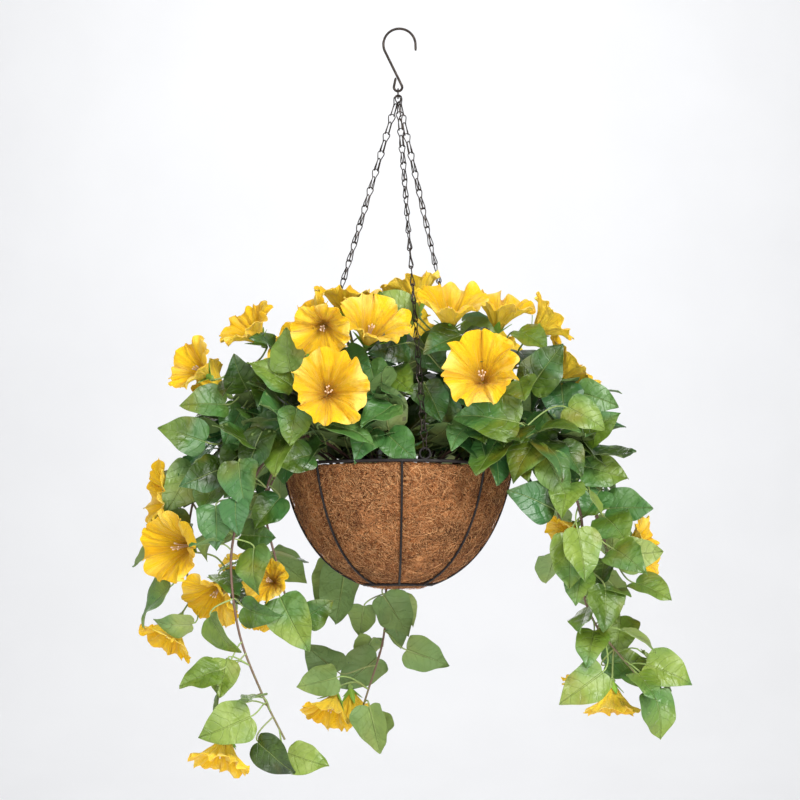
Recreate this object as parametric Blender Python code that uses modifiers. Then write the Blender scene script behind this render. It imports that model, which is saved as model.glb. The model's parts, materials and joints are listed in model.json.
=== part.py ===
"""Hanging basket of yellow petunias: a welded wire bowl on three chains and an open hook.

Metres, +Z up. The origin is where the hook's bend bears on a bracket. -Y is the front.
Stems, leaves and blooms are set out in tables in millimetres, scaled by MM. Each bloom and leaf is then turned
a little at a time until it clears everything that grew before it.
"""

import math
from collections import namedtuple

import bmesh
import bpy
import numpy as np
from mathutils import Vector
from mathutils.bvhtree import BVHTree

MM = 0.001
GAP = 0.0003

# Hook and gathering ring
HOOK_WIRE = 0.0014
HOOK_BEND = 0.0178
HOOK_SIDE = 0.0015
EYE_RADIUS = 0.0046
EYE_CENTRE_Z = -0.0645
RING_WIRE = 0.0009
RING_RADIUS = 0.0052

# Wire bowl
RIM_Z = -0.488
RIM_RADIUS = 0.1254
RIM_WIRE = 0.0018
BOWL_DEPTH = 0.128
BOWL_SHARES = (0.0, 0.26, 0.52, 0.74, 0.9, 1.0)
RIB_WIRE = 0.0013
RIB_COUNT = 8
RIB_START = math.radians(-88)
BASE_WIRE = 0.0016
LOOP_WIRE = 0.0012
LOOP_RADIUS = 0.0056
LOOP_SINK = 0.0016
LOOP_ANGLES = {"front": math.radians(-77), "left": math.radians(163), "back": math.radians(43)}

# Chains
LINK_WIRE = 0.00075
LINK_SINK = 0.00075
LINKS = 20
LINK_SPREAD = {"front": -0.0026, "left": 0.0, "back": 0.0026}
LINK_TWIST = {"front": math.pi, "left": math.pi / 2, "back": -0.76 * math.pi}

# Liner and fill
LINER_WALL = 0.007
LINER_BULGE = 0.006
LINER_TOP = 0.003
ROUND_STEPS = 16
FILL_EDGE = 0.014
FILL_CROWN = 0.008

# Foliage
STEM_WIRE = 0.0019
STEM_TAPER = 0.58
PEDICEL_WIRE = 0.0011
PEDICEL_FLARE = (1, 1, 1.3, 3)
CLEAR = 0.0010
LEAF_WALL = 0.0010
LEAF_FOLD = 0.22
LEAF_ARCH = 0.20
PETIOLE_HALF = 0.0010
LEAF_TRIES = 60
HEART = ((0.33, -0.09), (0.45, 0.30))

# Blooms
TRUMPET = ((0.0, 0.0032, 5), (0.027, 0.0165, 5), (0.044, 0.0410, 10))
PETAL_WALL = 0.0008
RUFFLE = 0.0035
LOBE = 0.07
BLOOM_TRIES = 40

Stem = namedtuple("Stem", "route leaves whorls")
Bloom = namedtuple("Bloom", "stem joint mouth facing size")
LeafPose = namedtuple("LeafPose", "root base along up length")
BloomPose = namedtuple("BloomPose", "base axis turn size")

# Each stem's route from the fill outwards, its leaves as base, tip and bank in degrees, and the leaves that
# only follow a rule, as headings round the basket at a point of the route: 0 is right, 90 back, 180 left.
STEMS = {
    "trailing_stem_left_1": Stem(
        route=(
            (-45, -40, -530), (-47, -42, -490), (-68, -58, -470), (-98, -80, -460), (-130, -100, -476),
            (-155, -108, -515), (-170, -106, -560), (-174, -104, -605), (-165, -98, -670), (-142, -94, -730),
            (-118, -92, -778),
        ),
        leaves=(
            ((-110, -110, -410), (-150, -125, -380), 0), ((-105, -125, -435), (-110, -150, -470), 0),
            ((-120, -105, -450), (-165, -120, -485), 0), ((-165, -85, -475), (-180, -120, -500), 0),
            ((-185, -95, -495), (-220, -125, -510), 0), ((-190, -75, -510), (-210, -110, -535), 0),
            ((-165, -125, -490), (-160, -140, -535), 0), ((-190, -110, -535), (-185, -130, -575), 0),
            ((-185, -115, -705), (-225, -130, -715), 0), ((-195, -110, -650), (-175, -125, -690), 75),
            ((-180, -110, -715), (-170, -125, -760), 75), ((-155, -115, -765), (-210, -130, -785), 0),
            ((-145, -105, -780), (-110, -120, -810), 60), ((-115, -95, -790), (-75, -115, -800), 0),
            ((-155, -100, -580), (-165, -125, -620), 0), ((-170, -80, -640), (-165, -105, -675), 60),
            ((-75, -125, -450), (-25, -140, -460), 0), ((-90, -110, -480), (-125, -135, -490), 0),
        ),
        whorls={},
    ),
    "trailing_stem_left_2": Stem(
        route=(
            (-60, -28, -530), (-62, -29, -490), (-82, -42, -472), (-108, -62, -468), (-132, -72, -495),
            (-144, -74, -535), (-150, -76, -575), (-155, -80, -612),
        ),
        leaves=(
            ((-130, -70, -520), (-145, -95, -555), 0), ((-170, -50, -625), (-175, -85, -655), 0),
            ((-160, -70, -575), (-130, -95, -595), 0), ((-180, -60, -600), (-185, -75, -645), 0),
        ),
        whorls={},
    ),
    "trailing_stem_left_3": Stem(
        route=(
            (-68, -8, -530), (-70, -9, -490), (-90, -16, -471), (-116, -31, -469), (-137, -43, -492),
            (-142, -46, -540), (-130, -50, -592), (-122, -50, -622), (-116, -50, -646),
        ),
        leaves=(
            ((-125, -80, -630), (-105, -95, -690), 0), ((-115, -60, -650), (-140, -95, -635), 0),
        ),
        whorls={},
    ),
    "trailing_stem_left_4": Stem(
        route=(
            (-60, 20, -530), (-62, 20, -490), (-90, 14, -462), (-130, 4, -446), (-170, -10, -452),
            (-205, -22, -482), (-222, -28, -528), (-228, -28, -580), (-226, -24, -636),
        ),
        leaves=(
            ((-205, -75, -465), (-250, -90, -450), 0), ((-220, -55, -490), (-240, -70, -540), 0),
            ((-240, -45, -570), (-290, -60, -580), 0), ((-230, -70, -610), (-295, -90, -620), 0),
            ((-225, -50, -645), (-270, -65, -650), 0), ((-215, -75, -645), (-215, -100, -685), 0),
        ),
        whorls={7: (150,)},
    ),
    "arching_stem_left": Stem(
        route=(
            (-40, 0, -530), (-42, -1, -490), (-70, -12, -445), (-110, -28, -412), (-150, -42, -388),
            (-180, -48, -380),
        ),
        leaves=(
            ((-185, -70, -425), (-225, -90, -425), 0), ((-160, -80, -410), (-175, -115, -385), 0),
            ((-130, -50, -365), (-140, -80, -335), 0), ((-125, -80, -415), (-155, -110, -405), 0),
            ((-165, -60, -425), (-185, -80, -460), 0), ((-160, -70, -430), (-145, -110, -445), 0),
        ),
        whorls={},
    ),
    "trailing_stem_back": Stem(
        route=(
            (-12, 62, -530), (-12, 64, -490), (-14, 95, -466), (-15, 128, -472), (-15, 146, -520),
            (-15, 148, -585), (-14, 142, -635), (-18, 134, -682), (-34, 124, -735), (-44, 118, -766),
        ),
        leaves=(
            ((-60, 130, -595), (-75, 130, -660), 0), ((-75, 150, -590), (-95, 165, -630), 0),
            ((-20, 125, -625), (10, 140, -670), 0), ((-40, 150, -640), (-45, 180, -670), 0),
            ((10, 115, -690), (55, 130, -705), 0), ((-70, 120, -715), (-105, 135, -685), 0),
            ((-25, 140, -700), (-65, 155, -735), 0), ((-75, 95, -740), (-120, 110, -755), 0),
            ((-45, 95, -765), (-60, 110, -820), 0), ((-45, 125, -760), (-15, 140, -805), 0),
        ),
        whorls={3: (110,), 5: (205,)},
    ),
    "trailing_stem_right_1": Stem(
        route=(
            (38, -48, -530), (40, -50, -490), (66, -66, -468), (100, -82, -460), (140, -92, -470),
            (175, -98, -500), (192, -96, -545), (194, -88, -592), (196, -82, -628), (208, -80, -658),
            (228, -80, -684), (252, -76, -712),
        ),
        leaves=(
            ((140, -100, -410), (170, -115, -365), 0), ((135, -120, -400), (120, -160, -405), 0),
            ((180, -90, -430), (215, -105, -450), 0), ((155, -125, -485), (175, -140, -525), 0),
            ((160, -125, -540), (115, -140, -515), 0), ((125, -135, -450), (60, -135, -435), 0),
            ((140, -110, -470), (105, -125, -505), 0), ((135, -70, -445), (160, -105, -465), 0),
            ((135, -90, -475), (145, -120, -505), 0), ((185, -135, -560), (195, -150, -610), 0),
            ((180, -115, -565), (180, -130, -620), 0), ((215, -115, -620), (215, -140, -660), 0),
            ((235, -65, -655), (220, -80, -700), 0), ((205, -95, -665), (195, -125, -695), 0),
            ((235, -65, -685), (280, -80, -680), 0), ((260, -90, -700), (305, -105, -715), 0),
            ((270, -100, -730), (280, -115, -775), 0), ((210, -110, -710), (170, -125, -745), 0),
            ((200, -90, -640), (185, -125, -660), 75), ((225, -110, -580), (245, -150, -595), 0),
            ((175, -75, -535), (160, -110, -560), 0), ((240, -50, -700), (250, -95, -715), 0),
            ((80, -95, -445), (50, -125, -465), 0),
        ),
        whorls={},
    ),
    "trailing_stem_right_2": Stem(
        route=(
            (58, -20, -530), (60, -21, -490), (90, -32, -468), (130, -40, -456), (170, -42, -470),
            (202, -42, -508), (218, -42, -556), (232, -42, -606),
        ),
        leaves=(
            ((200, -55, -460), (230, -70, -430), 0), ((200, -50, -490), (245, -65, -500), 0),
            ((215, -60, -515), (185, -95, -530), 0), ((225, -45, -535), (270, -65, -530), 0),
            ((235, -75, -585), (275, -100, -585), 0), ((250, -90, -615), (280, -120, -625), 0),
            ((225, -70, -590), (215, -110, -610), 0), ((220, -70, -545), (240, -110, -565), 0),
        ),
        whorls={},
    ),
    "arching_stem_right": Stem(
        route=(
            (56, 6, -530), (58, 6, -490), (85, 0, -452), (120, -10, -428), (155, -18, -412), (185, -22, -405),
        ),
        leaves=(
            ((195, -45, -410), (235, -60, -420), 0),
        ),
        whorls={},
    ),
    "trailing_stem_right_3": Stem(
        route=(
            (60, 32, -530), (62, 33, -490), (95, 48, -460), (140, 58, -452), (185, 58, -472), (215, 52, -515),
            (226, 46, -565),
        ),
        leaves=(),
        whorls={4: (340, 60), 6: (340, 40)},
    ),
    "trailing_stem_back_left": Stem(
        route=(
            (-45, 48, -530), (-47, 50, -490), (-75, 78, -464), (-115, 110, -460), (-148, 132, -500),
            (-160, 138, -560), (-158, 136, -625),
        ),
        leaves=(),
        whorls={4: (170, 90), 6: (180, 80)},
    ),
    "trailing_stem_back_right": Stem(
        route=(
            (40, 58, -530), (41, 60, -490), (66, 88, -462), (112, 112, -452), (158, 130, -478), (186, 138, -530),
            (190, 138, -592),
        ),
        leaves=(),
        whorls={4: (20, 100), 6: (100, 10)},
    ),
    "upright_stem_1": Stem(
        route=(
            (-25, -40, -530), (-26, -41, -490), (-36, -60, -440), (-46, -72, -392), (-54, -80, -358),
        ),
        leaves=(
            ((-100, -120, -395), (-95, -135, -350), 0), ((-50, -90, -350), (-20, -115, -370), 0),
            ((-30, -105, -385), (-20, -120, -425), 0), ((-15, -70, -390), (15, -105, -410), 0),
        ),
        whorls={},
    ),
    "upright_stem_2": Stem(
        route=(
            (0, -50, -530), (0, -52, -490), (-4, -72, -452), (-8, -86, -420),
        ),
        leaves=(
            ((-5, -115, -430), (-35, -145, -450), 0), ((-5, -90, -405), (-30, -120, -425), 0),
            ((-25, -100, -455), (-45, -125, -485), 0), ((-10, -100, -460), (15, -125, -485), 0),
        ),
        whorls={},
    ),
    "upright_stem_3": Stem(
        route=(
            (22, -30, -530), (23, -31, -490), (40, -55, -440), (56, -72, -400), (66, -80, -372),
        ),
        leaves=(
            ((10, -90, -355), (-20, -125, -360), 0), ((65, -100, -355), (30, -125, -370), 0),
            ((25, -95, -400), (45, -120, -435), 0), ((70, -85, -425), (30, -100, -445), 0),
        ),
        whorls={},
    ),
    "upright_stem_4": Stem(
        route=(
            (20, 0, -530), (21, 0, -490), (32, -14, -438), (46, -30, -382), (58, -42, -345),
        ),
        leaves=(
            ((15, -70, -335), (-25, -85, -305), 0), ((25, -70, -355), (45, -85, -395), 0),
            ((70, -50, -340), (120, -65, -350), 0),
        ),
        whorls={},
    ),
    "upright_stem_5": Stem(
        route=(
            (38, -5, -530), (40, -5, -490), (66, -8, -440), (102, -14, -400), (132, -16, -374),
        ),
        leaves=(
            ((135, -60, -345), (165, -90, -360), 0),
        ),
        whorls={3: (60,)},
    ),
    "upright_stem_6": Stem(
        route=(
            (-20, 0, -530), (-21, 0, -490), (-32, -14, -430), (-44, -28, -375), (-52, -38, -342),
        ),
        leaves=(),
        whorls={3: (120,)},
    ),
    "upright_stem_7": Stem(
        route=(
            (0, 30, -530), (0, 31, -490), (2, 48, -430), (6, 62, -380), (10, 70, -345),
        ),
        leaves=(),
        whorls={3: (160,), 4: (350,)},
    ),
    "upright_stem_8": Stem(
        route=(
            (-30, 30, -530), (-31, 31, -490), (-55, 58, -435), (-80, 82, -395), (-98, 98, -375),
        ),
        leaves=(),
        whorls={3: (180,), 4: (150,)},
    ),
    "upright_stem_9": Stem(
        route=(
            (32, 32, -530), (33, 33, -490), (55, 66, -435), (78, 96, -395), (95, 116, -372),
        ),
        leaves=(),
        whorls={3: (350,), 4: (30,)},
    ),
}

# stem, point of its route, middle of the mouth in mm, the way it faces, and size
BLOOMS = (
    Bloom("upright_stem_1", 3, (-70, -152, -415), (0.10, -1.0, 0.08), 1.0),
    Bloom("upright_stem_3", 4, (85, -152, -395), (-0.10, -1.0, 0.25), 1.0),
    Bloom("upright_stem_1", 4, (-24, -112, -336), (0.25, -0.70, 0.70), 0.95),
    Bloom("upright_stem_1", 4, (-72, -140, -352), (-0.05, -0.80, -0.35), 0.75),
    Bloom("upright_stem_6", 4, (-98, -105, -340), (-0.70, -0.50, 0.55), 1.0),
    Bloom("upright_stem_6", 4, (-52, -50, -298), (0.05, -0.15, 1.0), 0.9),
    Bloom("arching_stem_left", 5, (-166, -62, -334), (-0.60, -0.50, 0.70), 0.8),
    Bloom("arching_stem_left", 5, (-190, -82, -362), (-0.60, -0.70, 0.15), 0.75),
    Bloom("arching_stem_left", 5, (-212, -20, -395), (-0.80, 0.20, 0.45), 0.75),
    Bloom("trailing_stem_left_4", 5, (-264, -42, -520), (-0.90, -0.30, 0.10), 0.9),
    Bloom("trailing_stem_left_4", 6, (-246, -78, -578), (-0.65, -0.75, -0.10), 1.0),
    Bloom("trailing_stem_left_4", 7, (-214, -72, -632), (-0.25, -0.50, -0.85), 0.85),
    Bloom("trailing_stem_left_3", 6, (-140, -90, -612), (-0.25, -0.90, 0.10), 0.6),
    Bloom("trailing_stem_left_3", 6, (-142, -58, -662), (-0.10, -0.20, -1.0), 0.6),
    Bloom("trailing_stem_left_4", 8, (-254, -14, -680), (-0.45, -0.30, -0.80), 0.8),
    Bloom("trailing_stem_left_1", 9, (-186, -98, -806), (-0.20, -0.30, -1.0), 0.85),
    Bloom("trailing_stem_back", 8, (-82, 108, -768), (-0.35, -0.40, -0.90), 0.8),
    Bloom("trailing_stem_back", 8, (-52, 150, -764), (0.10, 0.30, -0.95), 0.7),
    Bloom("upright_stem_4", 4, (14, -22, -284), (-0.25, 0.05, 1.0), 0.85),
    Bloom("upright_stem_4", 4, (56, -100, -312), (0.05, -0.50, 0.90), 0.95),
    Bloom("upright_stem_4", 4, (112, -58, -308), (0.20, -0.30, 0.95), 0.9),
    Bloom("upright_stem_5", 4, (162, -46, -330), (0.80, -0.20, 0.65), 0.8),
    Bloom("upright_stem_5", 4, (200, -18, -368), (0.85, 0.05, 0.60), 0.9),
    Bloom("trailing_stem_right_2", 4, (172, -88, -566), (-0.70, -0.40, -0.55), 0.6),
    Bloom("trailing_stem_right_2", 6, (270, -46, -578), (0.90, -0.35, 0.15), 0.9),
    Bloom("trailing_stem_right_1", 10, (228, -62, -752), (0.0, -0.15, -1.0), 0.75),
    Bloom("trailing_stem_right_1", 9, (204, -20, -726), (-0.20, 0.35, -0.90), 0.7),
    Bloom("upright_stem_8", 4, (-120, 130, -336), (-0.40, 0.55, 0.75), 0.9),
    Bloom("upright_stem_9", 4, (112, 150, -340), (0.40, 0.60, 0.70), 0.9),
    Bloom("upright_stem_7", 4, (8, 112, -318), (0.0, 0.60, 0.80), 0.9),
    Bloom("trailing_stem_back_left", 5, (-182, 172, -606), (-0.50, 0.60, -0.45), 0.8),
)


# ---------------------------------------------------------------- Blender helpers


def clear_scene():
    for obj in list(bpy.data.objects):
        bpy.data.objects.remove(obj, do_unlink=True)


def new_material(name, colour, roughness, metallic=0.0):
    """A plain Principled material."""
    material = bpy.data.materials.new(name)
    material.use_nodes = True
    shader = material.node_tree.nodes["Principled BSDF"]
    shader.inputs["Base Color"].default_value = (*colour, 1.0)
    shader.inputs["Roughness"].default_value = roughness
    shader.inputs["Metallic"].default_value = metallic
    return material


def new_collection(name):
    collection = bpy.data.collections.new(name)
    bpy.context.scene.collection.children.link(collection)
    return collection


def mesh_object(name, points, faces, collection, material=None):
    mesh = bpy.data.meshes.new(name)
    mesh.from_pydata([tuple(p) for p in points], [], faces)
    obj = bpy.data.objects.new(name, mesh)
    collection.objects.link(obj)
    if material:
        mesh.materials.append(material)
    return obj


def wire(name, points, radius, collection, material=None, closed=False, rings=0, radii=None):
    """A round wire along the points, as a mesh of 4 + 2 * rings sides. radii scales it at each point."""
    curve = bpy.data.curves.new(name, "CURVE")
    curve.dimensions = "3D"
    curve.bevel_depth = radius
    curve.bevel_resolution = rings
    curve.use_fill_caps = True
    spline = curve.splines.new("POLY")
    spline.points.add(len(points) - 1)
    spline.use_cyclic_u = closed
    for i, point in enumerate(points):
        spline.points[i].co = (*point, 1.0)
        if radii is not None:
            spline.points[i].radius = radii[i]
    guide = bpy.data.objects.new(name + "_line", curve)
    collection.objects.link(guide)
    bpy.context.view_layer.update()
    graph = bpy.context.evaluated_depsgraph_get()
    mesh = bpy.data.meshes.new_from_object(guide.evaluated_get(graph))
    weld = bmesh.new()
    weld.from_mesh(mesh)
    bmesh.ops.remove_doubles(weld, verts=weld.verts, dist=1e-6)
    bmesh.ops.recalc_face_normals(weld, faces=weld.faces)
    weld.to_mesh(mesh)
    weld.free()
    obj = bpy.data.objects.new(name, mesh)
    obj.matrix_world = guide.matrix_world
    collection.objects.link(obj)
    bpy.data.objects.remove(guide, do_unlink=True)
    bpy.data.curves.remove(curve)
    if material:
        mesh.materials.clear()
        mesh.materials.append(material)
    return obj


def add_wall(obj, thickness):
    """Solidify, half to each side of the surface."""
    wall = obj.modifiers.new("wall", "SOLIDIFY")
    wall.thickness = thickness
    wall.offset = 0.0


def drop_flaps(mesh):
    """Removes slivers that lie back to back on the same three points, which split their neighbours' edge in four."""
    seen, flaps = {}, []
    for face in mesh.faces:
        corners = frozenset(v.index for v in face.verts)
        if corners in seen:
            flaps += [face, seen[corners]]
        seen[corners] = face
    bmesh.ops.delete(mesh, geom=flaps, context="FACES")


def boolean(obj, operation, others):
    """Applies one Boolean of the collection to the object and removes the collection's objects."""
    modifier = obj.modifiers.new(operation.lower(), "BOOLEAN")
    modifier.operation = operation
    modifier.operand_type = "COLLECTION"
    modifier.collection = others
    modifier.solver = "MANIFOLD"
    bpy.context.view_layer.update()
    graph = bpy.context.evaluated_depsgraph_get()
    mesh = bpy.data.meshes.new_from_object(obj.evaluated_get(graph))
    tidy = bmesh.new()
    tidy.from_mesh(mesh)
    bmesh.ops.triangulate(tidy, faces=tidy.faces)
    drop_flaps(tidy)
    tidy.to_mesh(mesh)
    tidy.free()
    obj.modifiers.clear()
    obj.data = mesh
    for other in list(others.objects):
        bpy.data.objects.remove(other, do_unlink=True)


def turned(name, profile, collection, material):
    """A solid of revolution about Z. The profile's (radius, height) pairs start and end on the axis, and run down
    the outer side."""
    points = [(r * math.cos(RIB_START), r * math.sin(RIB_START), z) for r, z in profile]
    mesh = bpy.data.meshes.new(name)
    mesh.from_pydata(points, [(i, i + 1) for i in range(len(points) - 1)], [])
    mesh.materials.append(material)
    obj = bpy.data.objects.new(name, mesh)
    collection.objects.link(obj)
    screw = obj.modifiers.new("turn", "SCREW")
    screw.steps = ROUND_STEPS
    screw.render_steps = ROUND_STEPS
    screw.use_merge_vertices = True
    screw.merge_threshold = 1e-5
    return obj


# ---------------------------------------------------------------- hook, ring and chains


def hook_line():
    """The hook's centreline: an open bend, a slanted shank, and an eye whose end stops short of the shank."""
    bend_z = HOOK_WIRE - HOOK_BEND
    line = [(HOOK_SIDE + HOOK_BEND + 0.0003, bend_z - 0.007)]
    for step in range(11):
        turn = math.radians(205) * step / 10
        line.append((HOOK_SIDE + HOOK_BEND * math.cos(turn), bend_z + HOOK_BEND * math.sin(turn)))
    for step in range(8):
        turn = math.radians(15) - math.radians(205) * step / 7
        line.append((EYE_RADIUS * math.cos(turn), EYE_CENTRE_Z + EYE_RADIUS * math.sin(turn)))
    line.append((-0.0026, EYE_CENTRE_Z + 0.0105))
    return [(x, 0.0, z) for x, z in line]


def ring_centre_z():
    """The ring hangs on the lowest point of the eye."""
    return EYE_CENTRE_Z - EYE_RADIUS + HOOK_WIRE + RING_WIRE + GAP - RING_RADIUS


def circle(centre, across, up, radius, count):
    """Points round a circle in the plane of two unit vectors."""
    turns = [2 * math.pi * i / count for i in range(count)]
    return [centre + across * (radius * math.cos(t)) + up * (radius * math.sin(t)) for t in turns]


def chain_ends(side):
    """Where a chain's first head and last foot lie: over the ring's lowest wire and under the rim loop's top."""
    y = LINK_SPREAD[side]
    ring_low = ring_centre_z() - math.sqrt(RING_RADIUS**2 - y**2)
    start = Vector((0, y, ring_low + RING_WIRE + LINK_WIRE + GAP))
    angle = LOOP_ANGLES[side]
    loop_top = RIM_Z + LOOP_SINK + 2 * LOOP_RADIUS
    end = Vector((RIM_RADIUS * math.cos(angle), RIM_RADIUS * math.sin(angle), loop_top))
    along = (end - start).normalized()
    return start, end + along * (LOOP_WIRE + LINK_WIRE + GAP)


def link_line(origin, across, beside, along, length):
    """One link's centreline: a wide head, and a foot turned a quarter round the link's length."""
    outline = ((0.0, 0.0020, 0), (0.32, 0.0030, 25), (1.0, 0.0025, 90))
    sides = []
    for share, half, quarter in outline:
        turn = math.radians(quarter)
        sides.append((origin + along * (length * share), (across * math.cos(turn) + beside * math.sin(turn)) * half))
    return [middle + offset for middle, offset in sides] + [middle - offset for middle, offset in reversed(sides)]


def build_chain(side, collection, material):
    """Links fused where they bear on each other, twisting slowly from the ring to the rim loop."""
    start, end = chain_ends(side)
    along = (end - start).normalized()
    pitch = ((end - start).length - LINK_SINK) / LINKS
    across = (Vector((1, 0, 0)) - along * along.x).normalized()
    links = new_collection("links")
    first = None
    for number in range(LINKS):
        turn = LINK_TWIST[side] * number / (LINKS - 1)
        swung = across * math.cos(turn) + along.cross(across) * math.sin(turn)
        line = link_line(start + along * (pitch * number), swung, along.cross(swung), along, pitch + LINK_SINK)
        target = collection if first is None else links
        link = wire(f"chain_{side}", line, LINK_WIRE, target, material, closed=True)
        first = first or link
    boolean(first, "UNION", links)
    bpy.data.collections.remove(links)
    first.name = f"chain_{side}"
    return first


# ---------------------------------------------------------------- wire bowl, liner and fill


def bowl_radius(depth):
    """Radius of the wire bowl at a depth below the rim: a near hemisphere whose upper side is almost straight."""
    share = depth / BOWL_DEPTH
    return RIM_RADIUS * math.sqrt(1 - (0.955 * share) ** 2) * (1 - 0.15 * share * (1 - share))


def build_wire_basket(collection, material):
    """Rim, ribs, base ring and the three chain loops, welded into one piece."""
    up = Vector((0, 0, 1))
    rim = wire("wire_basket", circle(Vector((0, 0, RIM_Z)), Vector((1, 0, 0)), Vector((0, 1, 0)), RIM_RADIUS, 24),
               RIM_WIRE, collection, material, closed=True)
    welded = new_collection("welded")
    for number in range(RIB_COUNT):
        angle = RIB_START + 2 * math.pi * number / RIB_COUNT
        line = [(radius * math.cos(angle), radius * math.sin(angle), z) for radius, z in bowl_profile()]
        wire("rib", line, RIB_WIRE, welded)
    base = circle(Vector((0, 0, RIM_Z - BOWL_DEPTH)), Vector((1, 0, 0)), Vector((0, 1, 0)), bowl_radius(BOWL_DEPTH), 16)
    wire("base_ring", base, BASE_WIRE, welded, closed=True)
    for angle in LOOP_ANGLES.values():
        centre = Vector((RIM_RADIUS * math.cos(angle), RIM_RADIUS * math.sin(angle), RIM_Z + LOOP_SINK + LOOP_RADIUS))
        tangent = Vector((-math.sin(angle), math.cos(angle), 0))
        wire("loop", circle(centre, tangent, up, LOOP_RADIUS, 8), LOOP_WIRE, welded, closed=True)
    boolean(rim, "UNION", welded)
    bpy.data.collections.remove(welded)
    return rim


def bowl_profile():
    """A rib's (radius, height) pairs, from the rim down to the base ring."""
    return [(bowl_radius(share * BOWL_DEPTH), RIM_Z - share * BOWL_DEPTH) for share in BOWL_SHARES]


def inset(profile, distance):
    """The profile moved inwards, square to itself. A last point on the axis only moves up."""
    points = np.array(profile)
    legs = np.diff(points, axis=0)
    normals = np.column_stack([legs[:, 1], -legs[:, 0]]) / np.linalg.norm(legs, axis=1)[:, None]
    after = normals[-1:] if profile[-1][0] > 0 else normals[-1:] * (-1, 1)
    miter = np.vstack([normals[:1], normals]) + np.vstack([normals, after])
    miter *= 2 / (miter**2).sum(axis=1)[:, None]
    return [tuple(p) for p in points + miter * distance]


def below(profile, height):
    """The profile from this height down."""
    upper = max(i for i, point in enumerate(profile) if point[1] >= height)
    (r0, z0), (r1, z1) = profile[upper : upper + 2]
    return [(r0 + (r1 - r0) * (z0 - height) / (z0 - z1), height), *profile[upper + 1 :]]


def liner_skin():
    """The liner's outer side down to the axis: just inside the ribs, and bulging through the base ring."""
    return [*inset(bowl_profile(), BASE_WIRE + GAP), (0.0, RIM_Z - BOWL_DEPTH - LINER_BULGE)]


def build_liner(collection, material):
    outer = below(liner_skin(), RIM_Z - LINER_TOP)
    inner = below(inset(liner_skin(), LINER_WALL), RIM_Z - LINER_TOP)
    return turned("coco_liner", inner[::-1] + outer, collection, material)


def build_fill(collection, material):
    """The fill: domed on top, 0.3 mm inside the liner, with a plain hole for each stem."""
    side = below(inset(liner_skin(), LINER_WALL + GAP), RIM_Z - FILL_EDGE)
    crown = [(0.0, RIM_Z - FILL_CROWN), (0.6 * side[0][0], RIM_Z - FILL_CROWN - 0.002)]
    fill = turned("planting_fill", crown + side, collection, material)
    holes = new_collection("holes")
    for stem in STEMS.values():
        foot = Vector(stem.route[0]) * MM
        neck = Vector(stem.route[1]) * MM
        along = (neck - foot).normalized()
        wire("hole", (foot - along * GAP, neck + along * 0.02), STEM_WIRE + 2 * GAP, holes, rings=0)
    boolean(fill, "DIFFERENCE", holes)
    bpy.data.collections.remove(holes)
    return fill


# ---------------------------------------------------------------- growing clear of what is there


def shell(points, faces, wall):
    """A thin surface given a wall: its points pushed half the wall to each side, and its open edges closed."""
    points = np.array(points, float)
    normals = np.zeros_like(points)
    for face in faces:
        a, b, c = points[list(face)]
        for corner in face:
            normals[corner] += np.cross(b - a, c - a)
    normals /= np.linalg.norm(normals, axis=1)[:, None]
    both = np.vstack([points + normals * wall / 2, points - normals * wall / 2])
    count = len(points)
    closed = [tuple(face) for face in faces] + [tuple(i + count for i in reversed(face)) for face in faces]
    edges = {(face[i], face[(i + 1) % 3]) for face in faces for i in range(3)}
    for a, b in sorted(edge for edge in edges if edge[::-1] not in edges):
        closed += [(b, a, a + count), (b, a + count, b + count)]
    return both, closed


class Space:
    """What has grown so far, for testing a new piece against."""

    def __init__(self):
        self.taken = []

    def add(self, points, faces, owner=""):
        points = np.array(points, float)
        tree = BVHTree.FromPolygons([tuple(p) for p in points], [tuple(f) for f in faces])
        self.taken.append((owner, points.min(axis=0), points.max(axis=0), tree))

    def add_object(self, obj, owner=""):
        bpy.context.view_layer.update()
        evaluated = obj.evaluated_get(bpy.context.evaluated_depsgraph_get())
        mesh = evaluated.to_mesh()
        points = [tuple(obj.matrix_world @ v.co) for v in mesh.vertices]
        self.add(points, [tuple(p.vertices) for p in mesh.polygons], owner)
        evaluated.to_mesh_clear()

    def is_clear(self, points, faces, ignore=()):
        points = np.array(points, float)
        low, high = points.min(axis=0), points.max(axis=0)
        tree = None
        for owner, other_low, other_high, other in self.taken:
            if owner in ignore or (low > other_high).any() or (high < other_low).any():
                continue
            tree = tree or BVHTree.FromPolygons([tuple(p) for p in points], [tuple(f) for f in faces])
            if tree.overlap(other):
                return False
        return True


# ---------------------------------------------------------------- blooms


def bloom_candidates(number):
    """The bloom's place as set out, then turned and shifted further and further from it."""
    bloom = BLOOMS[number]
    draw = np.random.default_rng([7, number])
    turn = draw.uniform(0, 2 * math.pi)
    for attempt in range(BLOOM_TRIES):
        stray = attempt / BLOOM_TRIES
        axis = Vector(bloom.facing).normalized() + Vector(draw.normal(0, 0.5 * stray, 3))
        axis.normalize()
        mouth = Vector(bloom.mouth) * MM + Vector(draw.normal(0, 0.018 * stray, 3))
        base = mouth - axis * (TRUMPET[-1][0] * bloom.size)
        yield BloomPose(base, axis, turn, bloom.size)


def frame_of(axis):
    """Two unit vectors square to the axis."""
    across = axis.orthogonal().normalized()
    return across, axis.cross(across)


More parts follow.
